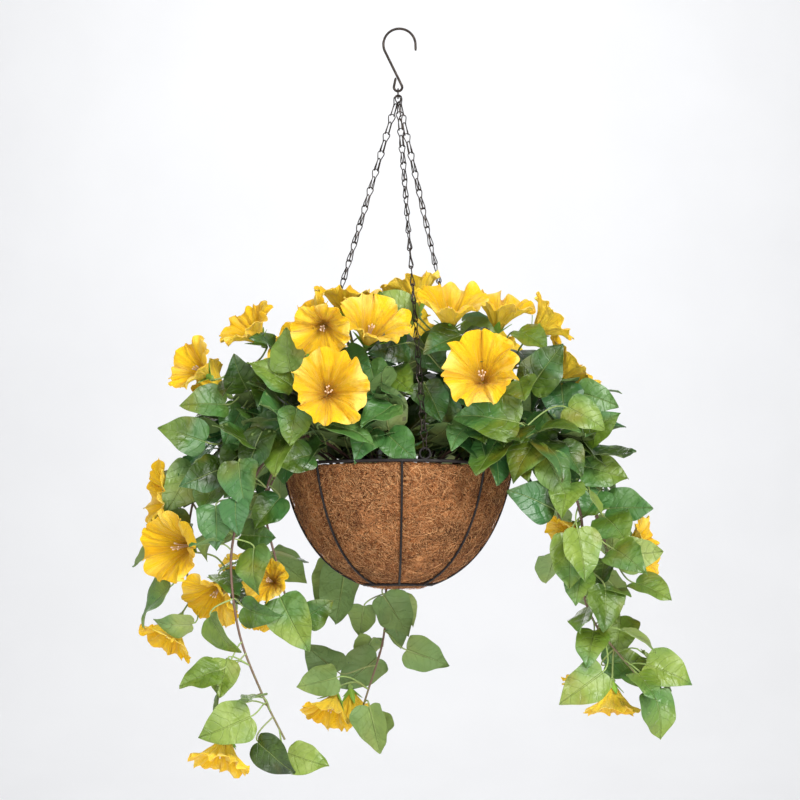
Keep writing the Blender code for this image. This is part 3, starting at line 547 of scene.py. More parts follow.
@dataclass(frozen=True)
class WireFinish:
    """Coated or bronzed steel wire, a little mottled."""

    name: str
    dark: tuple
    light: tuple
    roughness: float
    metallic: float

    def paint(self) -> Material:
        """The material: two shades mottled by noise, duller where it is darker."""
        made = Paint(self.name, self.roughness, self.metallic, 0.22)
        mottle = made.noise(made.place(), 220.0, 4.0, 0.65)
        made.colour(made.ramp(mottle, ((0.35, self.dark), (0.68, self.light))))
        made.roughness(made.spread(mottle, 0.3, 0.7, self.roughness + 0.14, self.roughness - 0.08))
        made.bump(made.noise(made.place(), 900.0, 2.0), 0.00012, 0.5)
        return made.material


@dataclass(frozen=True)
class CoirFinish:
    """Matted coconut fibre. Its loose fibres take their shade from the tone."""

    deep: tuple = (0.016, 0.004, 0.001)
    brown: tuple = (0.150, 0.045, 0.012)
    tan: tuple = (0.430, 0.170, 0.058)
    straw: tuple = (0.720, 0.390, 0.170)
    lays: tuple = ((0.3, 0.2), (0.9, -0.5), (1.5, 0.4), (2.1, -0.2), (2.7, 0.5), (1.2, 1.3))

    def strands(self, made: Paint, turns: tuple, scale: float, thin: float) -> Socket:
        """Short wavy hairs that lie one way: noise drawn out along one direction, kept where it is high."""
        waves = {"Vector": made.place(), "Scale": 70.0, "Detail": 1.0}
        waver = made.node("ShaderNodeTexNoise", waves).outputs["Color"]
        stray = made.node("ShaderNodeVectorMath", {0: waver, 3: 0.014}, operation="SCALE").outputs[0]
        at = made.node("ShaderNodeVectorMath", {0: made.place(), 1: stray}, operation="ADD").outputs[0]
        drawn_out = (1 / scale, 1 / scale, 11 / scale)
        laid = {"Vector": at, "Rotation": (turns[1], turns[0], 0.0), "Scale": drawn_out}
        lengthwise = made.node("ShaderNodeMapping", laid, vector_type="TEXTURE").outputs[0]
        hairs = made.noise(lengthwise, 1.0, 2.0, 0.5)
        return made.spread(hairs, thin, thin + 0.10, 0.0, 1.0)

    def mat(self) -> Material:
        """The matted wall: patches under layers of dark and pale hairs that lie different ways."""
        made = Paint("coir_mat", 0.92, specular=0.12)
        patches = made.noise(made.place(), 20.0, 5.0, 0.72, 0.6)
        shade = made.ramp(patches, ((0.33, self.deep), (0.52, self.brown), (0.72, self.tan)))
        height = made.noise(made.place(), 300.0, 4.0, 0.8)
        colours = (self.deep, self.tan, self.deep, self.straw, self.tan, self.straw)
        for number, (turns, colour) in enumerate(zip(self.lays, colours)):
            hairs = self.strands(made, turns, 560.0 + 80.0 * number, 0.53)
            share, rise = (0.80, -0.4) if colour == self.deep else (0.46, 0.4)
            shade = made.mix(made.math("MULTIPLY", hairs, share), shade, colour)
            height = made.math("ADD", height, made.math("MULTIPLY", hairs, rise))
        made.colour(shade)
        made.bump(height, 0.0011, 0.9)
        return made.material

    def fibre(self) -> Material:
        """A loose fibre, from dark brown to straw by its tone."""
        made = Paint("coir_fibre", 0.7, specular=0.3)
        tone = made.attribute("tone")
        stops = ((0.0, self.deep), (0.35, self.brown), (0.70, self.tan), (1.0, self.straw))
        made.colour(made.ramp(tone, stops))
        return made.material


@dataclass(frozen=True)
class FillFinish:
    """Dark foam and moss at the foot of the stems."""

    dark: tuple = (0.010, 0.008, 0.005)
    light: tuple = (0.055, 0.045, 0.022)

    def paint(self) -> Material:
        """The material: crumbs in two dark shades."""
        made = Paint("moss_fill", 0.98, specular=0.1)
        crumbs = made.noise(made.place(), 320.0, 5.0, 0.8)
        made.colour(made.ramp(crumbs, ((0.35, self.dark), (0.7, self.light))))
        made.bump(crumbs, 0.002, 0.8)
        return made.material


@dataclass(frozen=True)
class LeafFinish:
    """Printed leaf cloth with a soft gloss, and its stems."""

    # The low tones, given to leaves deep in the crown as painted shade, are the dark greens.
    shades: tuple = (
        (0.00, (0.009, 0.022, 0.001)),
        (0.25, (0.034, 0.072, 0.003)),
        (0.50, (0.098, 0.165, 0.014)),
        (0.75, (0.172, 0.245, 0.032)),
        (1.00, (0.270, 0.335, 0.095)),
    )
    olive: tuple = (0.160, 0.126, 0.008)
    bluish: tuple = (0.036, 0.145, 0.040)
    pale: tuple = (0.310, 0.400, 0.120)
    vein_step: float = 0.19
    vein_rise: float = 0.50
    vein_bend: float = 0.75

    def ribs(self, made: Paint) -> tuple[Socket, Socket]:
        """The midrib and the side veins.

        A side vein lies where (along - rise * across - bend * across^2) / step is a whole number.
        """
        across, along = made.pattern()
        across = made.math("ABSOLUTE", made.math("SUBTRACT", across, 0.5))
        along = made.math("SUBTRACT", along, 0.15)
        breadth = made.spread(along, 0.0, 1.0, 0.024, 0.010)
        midrib = made.spread(made.math("DIVIDE", across, breadth), 0.3, 1.0, 1.0, 0.0)
        strayed = made.spread(made.noise(made.place(), 60.0, 1.0), 0.3, 0.7, -0.05, 0.05)
        bent = made.math("ADD", along, strayed)
        bent = made.math("SUBTRACT", bent, made.math("MULTIPLY", across, self.vein_rise))
        curve = made.math("MULTIPLY", made.math("POWER", across, 2.0), self.vein_bend)
        bent = made.math("SUBTRACT", bent, curve)
        phase = made.math("PINGPONG", made.math("DIVIDE", bent, self.vein_step), 0.5)
        breadth = made.spread(across, 0.0, 0.45, 0.09, 0.035)
        side = made.spread(made.math("DIVIDE", phase, breadth), 0.0, 1.0, 1.0, 0.0)
        return midrib, made.math("MULTIPLY", side, made.spread(across, 0.30, 0.46, 1.0, 0.2))

    def blade(self) -> Material:
        """The leaf: a shade by its tone, which holds painted shade, clouded, with olive and bluish patches.

        Its side veins are darker, its midrib is paler and its underside is pale and dull, paler partly as
        painted light.
        """
        made = Paint("leaf_cloth", 0.40, specular=0.50)
        tone, under = made.attribute("tone"), made.attribute("under")
        cloud = made.noise(made.place(), 45.0, 3.0)
        shade = made.math("ADD", tone, made.spread(cloud, 0.3, 0.7, -0.13, 0.13), clamp=True)
        printed = made.ramp(shade, self.shades)
        olive = made.spread(made.noise(made.place(), 19.0, 2.0), 0.56, 0.70, 0.0, 0.55)
        printed = made.mix(olive, printed, self.olive)
        bluish = made.spread(made.noise(made.place(), 13.0, 1.0, 0.5, 0.4), 0.42, 0.56, 0.62, 0.0)
        printed = made.mix(bluish, printed, self.bluish)
        midrib, side = self.ribs(made)
        veined = made.mix(made.math("MULTIPLY", side, 0.24), printed, (0.40, 0.50, 0.32), "MULTIPLY")
        veined = made.mix(made.math("MULTIPLY", midrib, 0.28), veined, self.pale)
        # Paler underside: partly its own colour, partly painted light, as undersides face away from the lamps.
        back = made.mix(0.38, veined, (0.270, 0.360, 0.110))
        made.colour(made.mix(under, veined, back))
        gloss = made.spread(cloud, 0.3, 0.7, 0.32, 0.47)
        made.roughness(made.math("ADD", gloss, made.math("MULTIPLY", under, 0.25)))
        weave = made.math("MULTIPLY", made.noise(made.place(), 1400.0, 1.0), 0.12)
        crumple = made.math("MULTIPLY", made.noise(made.place(), 62.0, 2.0, 0.45, 0.7), 3.4)
        height = made.math("SUBTRACT", made.math("ADD", weave, crumple), made.math("MULTIPLY", side, 0.28))
        made.bump(made.math("SUBTRACT", height, midrib), 0.0013, 0.85)
        return made.material

    def bark(self) -> Material:
        """Stem and stalk: mauve brown at a tone of 0, leaf green at a tone of 1."""
        made = Paint("stem_bark", 0.5, specular=0.4)
        streak = made.noise(made.place(), 160.0, 4.0, 0.7)
        tone, strayed = made.attribute("tone"), made.spread(streak, 0.3, 0.7, -0.10, 0.10)
        tone = made.math("ADD", tone, strayed, clamp=True)
        stops = (
            (0.0, (0.070, 0.036, 0.026)), (0.35, (0.150, 0.085, 0.060)), (0.60, (0.185, 0.180, 0.070)),
            (1.0, (0.270, 0.400, 0.110)),
        )
        made.colour(made.ramp(tone, stops))
        made.bump(streak, 0.0004, 0.6)
        return made.material

    def sepal(self) -> Material:
        """Fresh green calyx, paler along its middle."""
        made = Paint("sepal_green", 0.5, specular=0.3)
        across, along = made.pattern()
        middle = made.spread(made.math("ABSOLUTE", made.math("SUBTRACT", across, 0.5)), 0.0, 0.12, 0.6, 0.0)
        base = made.ramp(along, ((0.0, (0.260, 0.430, 0.050)), (1.0, (0.170, 0.370, 0.035))))
        made.colour(made.mix(middle, base, (0.400, 0.540, 0.110)))
        made.bump(made.noise(made.place(), 500.0, 2.0), 0.0003, 0.5)
        return made.material


@dataclass(frozen=True)
class PetalFinish:
    """Pleated golden cloth, amber in the throat and creamy in parts of the rim, with painted shade and light.
    """

    amber: tuple = (0.480, 0.190, 0.001)
    orange: tuple = (0.600, 0.290, 0.003)
    yellow: tuple = (0.690, 0.400, 0.005)
    cream: tuple = (0.800, 0.580, 0.140)
    # Painted shade: the olive gold of blotches scattered over the petals.
    painted_shade_blotch: tuple = (0.520, 0.330, 0.025)
    # Painted light: a brighter yellow for the outside of the trumpet, which the lamps barely reach.
    outside: tuple = (0.970, 0.640, 0.045)

    def streaks(self, made: Paint, turns: float, rings: float) -> Socket:
        """Noise drawn out from the throat to the rim: fast round the bloom and slow along it.

        The pattern coordinates are a disc, so its point divided by its length is the turn.
        """
        across, beside = made.pattern()
        across, beside = made.math("SUBTRACT", across, 0.5), made.math("SUBTRACT", beside, 0.5)
        squares = made.math("POWER", across, 2.0), made.math("POWER", beside, 2.0)
        size = made.math("MAXIMUM", made.math("SQRT", made.math("ADD", *squares)), 0.001)
        shift = made.node("ShaderNodeSeparateXYZ", {0: made.place()}).outputs["X"]
        parts = {
            0: made.math("MULTIPLY", made.math("DIVIDE", across, size), turns),
            1: made.math("MULTIPLY", made.math("DIVIDE", beside, size), turns),
            2: made.math("ADD", made.math("MULTIPLY", size, 2 * rings), made.math("MULTIPLY", shift, 25.0)),
        }
        return made.noise(made.node("ShaderNodeCombineXYZ", parts).outputs[0], 1.0, 3.0, 0.6)

    def outward(self, made: Paint) -> Socket:
        """The share of the way from the foot of the trumpet to its rim."""
        disc = made.node("ShaderNodeTexCoord").outputs["UV"]
        ends = {0: disc, 1: (0.5, 0.5, 0.0)}
        off = made.node("ShaderNodeVectorMath", ends, operation="DISTANCE").outputs["Value"]
        return made.math("MULTIPLY", off, 2.0)

    def petal(self) -> Material:
        """The corolla: painted shade by its tone, 1 down in a crease and 0 on a ridge, and painted light
        outside.
        """
        made = Paint("petal_cloth", 0.68, specular=0.15)
        made.shader.inputs["Sheen Weight"].default_value = 0.08
        made.shader.inputs["Subsurface Weight"].default_value = 0.20
        made.shader.inputs["Subsurface Radius"].default_value = (0.9, 0.5, 0.1)
        made.shader.inputs["Subsurface Scale"].default_value = 0.004
        out = self.outward(made)
        stops = ((0.04, self.amber), (0.22, self.orange), (0.46, self.yellow), (1.0, self.yellow))
        base = made.ramp(out, stops)
        inner = made.spread(out, 0.25, 0.85, 0.70, 0.25)
        tone = made.attribute("tone")
        # Painted shade: the deeper a point lies in a fold, the more orange it turns; ridges stay yellow.
        base = made.mix(made.spread(tone, 0.30, 0.85, 0.0, 0.65), base, self.orange)
        # Amber down the deepest creases near the throat: partly the throat's own veined star, partly painted
        # shade.
        star_and_crease_shade = made.math("MULTIPLY", made.spread(tone, 0.70, 1.0, 0.0, 0.7), inner)
        base = made.mix(star_and_crease_shade, base, self.amber)
        fine = self.streaks(made, 9.0, 1.2)
        streaked = made.math("MULTIPLY", made.spread(fine, 0.48, 0.72, 0.0, 0.85), inner)
        lined = made.mix(streaked, base, self.orange)
        cloud = made.noise(made.place(), 85.0, 3.0, 0.6, 0.8)
        # Painted shade: olive-gold blotches where the cloud noise is high.
        lined = made.mix(made.spread(cloud, 0.56, 0.74, 0.0, 0.55), lined, self.painted_shade_blotch)
        broad = self.streaks(made, 1.8, 1.6)
        pale, rim = made.spread(broad, 0.48, 0.66, 0.0, 0.80), made.spread(out, 0.50, 1.0, 0.0, 1.0)
        pale = made.math("MULTIPLY", pale, rim)
        # Painted light: the outside of the trumpet, where under is 1, turns a brighter yellow.
        lined = made.mix(made.math("MULTIPLY", made.attribute("under"), 0.80), lined, self.outside)
        made.colour(made.mix(pale, lined, self.cream))
        crinkle = made.math("ADD", self.streaks(made, 16.0, 0.8), made.math("MULTIPLY", cloud, 0.8))
        made.bump(crinkle, 0.0030, 1.0)
        return made.material

    def stamen(self) -> Material:
        """Pale pinkish cream."""
        made = Paint("stamen_cream", 0.5)
        grain = made.noise(made.place(), 900.0, 2.0)
        made.colour(made.ramp(grain, ((0.3, (0.52, 0.34, 0.20)), (0.7, (0.80, 0.62, 0.46)))))
        return made.material


# ---------------------------------------------------------------- hook, ring and chains


@dataclass(frozen=True)
class HangingGear:
    """The open hook with its eye, and the ring that gathers the chains."""

    wire: float = 0.0014
    bend: float = 0.0178
    side: float = 0.0015
    eye: float = 0.0046
    eye_z: float = -0.0645
    ring_wire: float = 0.0009
    ring: float = 0.0052
    ring_z: float = -0.0717
    sides: int = 14

    def hook_path(self) -> np.ndarray:
        """The bend, a slanted shank and the eye as one line in the plane y = 0."""
        top = arc(self.bend, 0, 205, 40) + (self.side, self.wire - self.bend)
        tip = top[:1] + (0.0003, -0.007)
        foot = arc(self.eye, 15, -190, 30) + (0.0, self.eye_z)
        end = np.array([[-0.0026, self.eye_z + 0.0105]])
        flat = np.concatenate([tip, top, foot, end])
        path = np.insert(flat, 1, 0.0, axis=1)
        return self.even(path, 150)

    def even(self, path: np.ndarray, count: int) -> np.ndarray:
        """The path with its points the same distance apart, so that a long straight keeps its thickness."""
        length = np.concatenate([[0], np.cumsum(np.linalg.norm(np.diff(path, axis=0), axis=1))])
        at = np.linspace(0, length[-1], count)
        return np.stack([np.interp(at, length, path[:, k]) for k in range(3)], -1)

    def build(self, finish: Material) -> None:
        """Makes the hook, whose tip is rounded, and the ring."""
        path = self.hook_path()
        radii = np.full(len(path), self.wire)
        radii[:3] *= (0.55, 0.85, 0.97)
        radii[-3:] *= (0.97, 0.85, 0.55)
        hook = make_piece("hanging_hook", tubes(path, radii, self.sides), [finish])
        mount(hook, Body.HOOK, Slot.BRONZE, "hook")
        loop = circle((0, 0, self.ring_z), (0, 1, 0), (0, 0, 1), self.ring, 48)
        ring = make_piece("chain_ring", tubes(loop, self.ring_wire, self.sides, closed=True), [finish])
        mount(ring, Body.RING, Slot.BRONZE, "gather_ring")


class Side(str, Enum):
    """Which of the three chains."""

    FRONT = "front"
    LEFT = "left"
    BACK = "back"


@dataclass(frozen=True)
class Chain:
    """A chain of bent wire links, each one closed wire: a wide head, and two hairpin feet square to it.

    Attributes:
        side: which of the three chains.
        wire: radius of the wire.
        sink: how much longer a link is than the pitch.
        links: how many.
        held: radius of the wire of the frame's own links, by which the chain's ends are placed.
        gap: room between that wire and what it hangs on.
        half: half a link, from the middle of its head down one leg, round the hairpin and up to the middle of
            the small loop that closes it, as share of the link's length, and metres across and beside.
        spread: how far from the ring's lowest point each chain's head hangs.
        twist: turn of each chain's last link against its first, in radians.
    """

    side: Side
    wire: float = 0.00060
    sink: float = 0.0012
    links: int = 20
    held: float = 0.00075
    gap: float = 0.0003
    half: tuple = (
        (0.00, 0.0000, 0.0), (0.00, 0.0018, 0.0), (0.09, 0.0036, 0.0), (0.21, 0.0034, 0.0),
        (0.40, 0.0020, 0.0003), (0.56, 0.0018, 0.0007), (0.88, 0.0018, 0.0021), (1.00, 0.0018, 0.0013),
        (1.00, 0.0018, -0.0013), (0.88, 0.0018, -0.0021), (0.58, 0.0015, -0.0009), (0.44, 0.0011, -0.0006),
        (0.38, 0.0000, -0.0006),
    )
    spread: dict = field(default_factory=lambda: {Side.FRONT: -0.0026, Side.LEFT: 0.0, Side.BACK: 0.0026})
    twist: dict = field(
        default_factory=lambda: {Side.FRONT: math.pi, Side.LEFT: math.pi / 2, Side.BACK: -0.76 * math.pi}
    )

    def ends(self, gear: HangingGear, bowl: WireBowl) -> tuple[np.ndarray, np.ndarray]:
        """Where the first head hangs over the ring and the last feet hold the rim's loop."""
        y = self.spread[self.side]
        low = gear.ring_z - math.sqrt(gear.ring**2 - y**2)
        start = np.array((0.0, y, low + gear.ring_wire + self.held + self.gap))
        top = bowl.loop_centre(self.side) + UP * bowl.loop
        return start, top + unit(top - start) * (bowl.loop_wire + self.held + self.gap)

    def build(self, gear: HangingGear, bowl: WireBowl, finish: Material) -> None:
        """Makes the links.

        A link is a smooth closed curve through the half and its mirror image. It is laid along the chain by
        its share, and across and beside by two directions that turn a little more at each link.
        """
        start, end = self.ends(gear, bowl)
        along = unit(end - start)
        pitch = (np.linalg.norm(end - start) - self.sink) / self.links
        across = unit(np.array((1.0, 0.0, 0.0)) - along * along[0])
        turn = (self.twist[self.side] * np.arange(self.links) / (self.links - 1))[:, None]
        swung = across * np.cos(turn) + np.cross(along, across) * np.sin(turn)
        beside = np.cross(swung, along)
        half = np.array(self.half)
        outline = through(np.concatenate([half, half[-2:0:-1] * (1, -1, 1)]), 2, closed=True)
        origin = start + along * (pitch * np.arange(self.links))[:, None]
        paths = origin[:, None] + along * (outline[:, :1] * (pitch + self.sink))
        paths = paths + swung[:, None] * outline[:, 1:2] + beside[:, None] * outline[:, 2:]
        name = f"chain_{self.side.value}"
        piece = make_piece(f"{name}_links", tubes(paths, self.wire, 6, closed=True), [finish])
        mount(piece, Body.BASKET, Slot.BRONZE, name)


# ---------------------------------------------------------------- wire bowl, liner and fill


@dataclass(frozen=True)
class WireBowl:
    """The welded bowl: rim, ribs, base ring and a loop for each chain."""

    rim_z: float = -0.488
    rim: float = 0.1254
    rim_wire: float = 0.0018
    depth: float = 0.128
    rib_wire: float = 0.0013
    ribs: int = 8
    rib_start: float = -88.0
    base_wire: float = 0.0016
    loop: float = 0.0056
    loop_wire: float = 0.0012
    loop_sink: float = 0.0016
    bead: float = 0.0019
    bead_reach: float = 0.0024
    loop_angles: dict = field(default_factory=lambda: {Side.FRONT: -77.0, Side.LEFT: 163.0, Side.BACK: 43.0})

    def radius(self, share: np.ndarray) -> np.ndarray:
        """Radius at a share of the depth: a near half round whose upper side is almost straight."""
        return self.rim * np.sqrt(1 - (0.955 * share) ** 2) * (1 - 0.15 * share * (1 - share))

    def loop_centre(self, side: Side) -> np.ndarray:
        """Middle of a chain's loop on the rim."""
        angle = math.radians(self.loop_angles[side])
        height = self.rim_z + self.loop_sink + self.loop
        return np.array((self.rim * math.cos(angle), self.rim * math.sin(angle), height))

    def profile(self, steps: int) -> np.ndarray:
        """(steps, 2) radius and height down a rib."""
        share = np.linspace(0, 1, steps)
        return np.stack([self.radius(share), self.rim_z - share * self.depth], -1)

    def build(self, finish: Material) -> None:
        """Makes the bowl, whose ribs run from the middle of the rim's wire to that of the base ring's."""
        rim = circle((0, 0, self.rim_z), (1, 0, 0), (0, 1, 0), self.rim, 128)
        foot = float(self.radius(np.array(1.0)))
        base = circle((0, 0, self.rim_z - self.depth), (1, 0, 0), (0, 1, 0), foot, 72)
        angles = np.radians(self.rib_start) + 2 * math.pi * np.arange(self.ribs) / self.ribs
        line = self.profile(40)
        out = np.stack([np.cos(angles), np.sin(angles)], -1)
        height = np.broadcast_to(line[None, :, 1:], (self.ribs, len(line), 1))
        ribs = np.concatenate([line[None, :, :1] * out[:, None], height], -1)
        loops = []
        for side in Side:
            centre = self.loop_centre(side)
            tangent = unit(np.array((-centre[1], centre[0], 0.0)))
            loops.append(circle(centre, tangent, UP, self.loop, 32))
        skin = joined([
            tubes(rim, self.rim_wire, 12, closed=True),
            tubes(ribs, self.rib_wire, 10),
            tubes(base, self.base_wire, 12, closed=True),
            tubes(np.array(loops), self.loop_wire, 10, closed=True),
            self.weld_beads(angles),
        ])
        mount(make_piece("wire_bowl", skin, [finish]), Body.BASKET, Slot.WIRE, "wire_basket")

    def weld_beads(self, angles: np.ndarray) -> Skin:
        """Beads of weld where the ribs meet the rim and the base ring: short tubes swollen at the middle."""
        reach = np.linspace(-1, 1, 7)
        swell = self.bead * np.sqrt(np.clip(1 - (reach * 0.97) ** 2, 0, 1))
        beads = []
        for angle in angles:
            out = np.array((math.cos(angle), math.sin(angle), 0.0))
            along = np.array((-math.sin(angle), math.cos(angle), 0.0))
            for share, lift in ((0.0, -0.0006), (1.0, 0.0006)):
                radius = float(self.radius(np.array(share)))
                centre = out * radius + UP * (self.rim_z - share * self.depth + lift)
                beads.append(centre + along * (self.bead_reach * reach)[:, None])
        return tubes(np.array(beads), np.broadcast_to(swell, (len(beads), len(reach))), 8)


@dataclass(frozen=True)
class CoirLiner:
    """The moulded coir liner: a matted wall that swells between the ribs, and its loose fibres."""

    bowl: WireBowl
    wall: float = 0.007
    gap: float = 0.0019
    bulge: float = 0.006
    swell: float = 0.0024
    top: float = 0.003
    around: int = 224
    down: int = 40
    fibres: int = 4400
    fibre_length: tuple = (0.005, 0.022)
    fibre_wire: tuple = (0.00009, 0.00021)
    least_radius: float = 0.0004
    seed: int = 23

    def skin_line(self) -> tuple[np.ndarray, np.ndarray]:
        """The outer side from the top edge to the axis, with its outward normals in radius and height."""
        edge_z = self.bowl.rim_z - self.top
        fine, line = self.bowl.profile(90), self.bowl.profile(self.down)
        edge = [[np.interp(-edge_z, -fine[:, 1], fine[:, 0]), edge_z]]
        line = np.concatenate([edge, line[line[:, 1] < edge_z]])
        low = self.bowl.rim_z - self.bowl.depth - self.bulge
        radius, height = line[-1]
        turn = np.radians(np.linspace(8, 88, 9))
        cap = np.stack([radius * np.cos(turn), height + (low - height) * np.sin(turn)], -1)
        line = np.concatenate([line, cap])
        slope = unit(np.gradient(line, axis=0))
        normal = np.stack([-slope[:, 1], slope[:, 0]], -1)
        return line - normal * self.gap, normal

    def build(self, finish: CoirFinish) -> None:
        """Makes the wall as one closed turned form and the fibres as a second material on the same piece.

        It follows the skin line, moved along the normal by the relief, and its top edge rises and falls by a
        sum of seeded waves.
        """
        draw = np.random.default_rng(self.seed)
        outer, normal = self.skin_line()
        inner = outer - normal * self.wall
        inner[:, 0] = np.maximum(inner[:, 0], self.least_radius)
        outer[:, 0] = np.maximum(outer[:, 0], self.least_radius)
        angle = 2 * math.pi * np.arange(self.around) / self.around
        reach = self.relief(outer, angle, draw)
        proud = outer[:, None] + normal[:, None] * reach[..., None]
        smooth = np.broadcast_to(inner[::-1, None], proud.shape)
        shell = turned(proud[..., 0], proud[..., 1], angle)
        lining = turned(smooth[..., 0], smooth[..., 1], angle)
        edge = self.ragged(angle, draw)
        shell[:4, :, 2] += edge * np.array((1.0, 0.7, 0.35, 0.1))[:, None]
        lining[-3:, :, 2] += edge * np.array((0.1, 0.4, 0.8))[:, None]
        wall = turned_solid(np.concatenate([lining, shell]))
        skin = joined([wall, self.loose_fibres(outer, normal, draw)])
        piece = make_piece("coir_liner", skin, [finish.mat(), finish.fibre()])
        mount(piece, Body.BASKET, Slot.COIR, "coco_liner")

    def relief(self, line: np.ndarray, angle: np.ndarray, draw: Draw) -> np.ndarray:
        """How far the wall stands proud of the skin line.

        It is swell * sin(ribs / 2 * turn from a rib) ** 2, fading out at the top edge and the bottom, and a
        sum of seeded waves that are lower the more often they go round.

        Args:
            line: (rows, 2) the skin line.
            angle: (around,) turns about the axis.
            draw: for the waves' starts.

        Returns:
            (rows, around) distances.
        """
        turn = angle - math.radians(self.bowl.rib_start)
        between = np.sin(turn * self.bowl.ribs / 2) ** 2
        share = np.linspace(0, 1, len(line))[:, None]
        body = np.sin(math.pi * np.clip(share * 1.15, 0, 1)) ** 0.7
        rough = np.zeros((len(line), len(angle)))
        for turns, waves in zip((3, 5, 8, 13, 21, 34, 47), (2, 3, 5, 7, 11, 15, 21)):
            phases = draw.uniform(0, 2 * math.pi, 2)
            size = 0.0010 / math.sqrt(turns)
            rough += size * np.sin(turns * angle + phases[0] + 3 * np.sin(waves * share * 3 + phases[1]))
        return self.swell * between * body + rough * np.clip(1 - share**6, 0, 1)

    def ragged(self, angle: np.ndarray, draw: Draw) -> np.ndarray:
        """How far the top edge rises and falls round the rim."""
        edge = np.zeros_like(angle)
        for turns in (4, 9, 17, 31, 53):
            edge += 0.0009 / math.sqrt(turns / 4) * np.sin(turns * angle + draw.uniform(0, 2 * math.pi))
        return edge

    def loose_fibres(self, line: np.ndarray, normal: np.ndarray, draw: Draw) -> Skin:
        """Fibres that wander over the wall.

        Each starts at a seeded turn and depth, heads off at a seeded angle that bends steadily, and lifts off
        the wall by a half sine of its length.
        """
        stations = 6
        length = np.concatenate([[0], np.cumsum(np.linalg.norm(np.diff(line, axis=0), axis=1))])
        step = np.linspace(0, 1, stations)
        start = np.sqrt(draw.uniform(0.0, 1.0, self.fibres))
        depth = (1 - start) * length[-1] * 0.97
        heading = draw.uniform(0, 2 * math.pi, self.fibres)[:, None]
        heading = heading + draw.normal(0, 0.7, self.fibres)[:, None] * step
        reach = draw.uniform(*self.fibre_length, self.fibres)[:, None] / (stations - 1)
        down = np.abs(depth[:, None] + np.cumsum(np.sin(heading) * reach, 1))
        down = np.minimum(down, length[-1] * 0.985)
        radius = np.interp(down, length, line[:, 0])
        aside = np.cumsum(np.cos(heading) * reach, 1) / np.maximum(radius, 0.012)
        turn = draw.uniform(0, 2 * math.pi, self.fibres)[:, None] + aside
        ribs = np.sin((turn - math.radians(self.bowl.rib_start)) * self.bowl.ribs / 2) ** 2
        body = np.sin(math.pi * np.clip(down / length[-1] * 1.15, 0, 1)) ** 0.7
        lift = 0.0004 + self.swell * 0.9 * ribs * body
        lift = lift + np.sin(math.pi * step) * np.abs(draw.normal(0, 0.0011, self.fibres))[:, None]
        out = np.interp(down, length, normal[:, 0])
        rise = np.interp(down, length, normal[:, 1])
        height = np.interp(down, length, line[:, 1]) + rise * lift
        radius = radius + out * lift
        thick = draw.uniform(*self.fibre_wire, self.fibres)[:, None] * (1 - 0.6 * np.abs(2 * step - 1) ** 3)
        tone = np.broadcast_to(draw.beta(1.2, 1.1, self.fibres)[:, None], (self.fibres, stations))
        return tubes(turned(radius, height, turn), thick, 3, tone=tone, slot=1)


@dataclass(frozen=True)
class MossFill:
    """The domed fill that the stems stand in."""

    bowl: WireBowl
    edge: float = 0.014
    crown: float = 0.008
    inset: float = 0.0095
    steps: int = 96
    rows: int = 26
    seed: int = 5

    def build(self, finish: Material) -> None:
        """Makes the dome, whose height falls by the square of the radius and is crumbled by seeded waves."""
        draw = np.random.default_rng(self.seed)
        low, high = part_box("planting_fill")
        side = self.bowl.profile(200)
        at_edge = np.interp(self.edge, self.bowl.rim_z - side[:, 1], side[:, 0]) - self.inset
        share = np.linspace(0.01, 1, self.rows)[:, None]
        angle = (2 * math.pi * np.arange(self.steps) / self.steps)[None]
        radius = share * at_edge
        height = np.tile(high.z - (self.edge - self.crown) * share**2, (1, self.steps))
        for turns in range(3, 16, 2):
            start, slant = draw.uniform(0, 6), draw.uniform(0.5, 1.5)
            height = height + 0.0007 * np.sin(turns * angle + start + 9 * share * slant)
        top = turned(radius, height, angle)
        floor = top[::-1].copy()
        depth = np.linspace(0.1, 1, self.rows)[:, None]
        sunk = (high.z - low.z) * 0.55 * np.sin(depth * math.pi / 2)
        floor[..., 2] = np.minimum(height[-1] - 0.002, height[-1] - sunk)
        skin = turned_solid(np.concatenate([top, floor]))
        mount(make_piece("moss_fill", skin, [finish]), Body.BASKET, Slot.FILL, "planting_fill")


# ---------------------------------------------------------------- leaves


@dataclass(frozen=True)
class LeafPose:
    """Where a leaf is: its stalk's root, its blade's base, two unit directions and its length."""

    root: np.ndarray
    base: np.ndarray
    along: np.ndarray
    up: np.ndarray
    length: float

    def at(self, across: np.ndarray, along: np.ndarray, lift: np.ndarray) -> np.ndarray:
        """Points of the blade from shares of its length."""
        side = np.cross(self.along, self.up)
        offset = across[..., None] * side + along[..., None] * self.along + lift[..., None] * self.up
        return self.base + offset * self.length


@dataclass(frozen=True)
class Stem:
    """One leafy stem.

    Attributes:
        route: its points, in millimetres.
        leaves: those set out one by one, as base and tip in millimetres and bank in degrees.
        whorls: those that follow a rule: a point of the route, and their headings in degrees.
    """

    route: tuple
    leaves: tuple = ()
    whorls: dict = field(default_factory=dict)


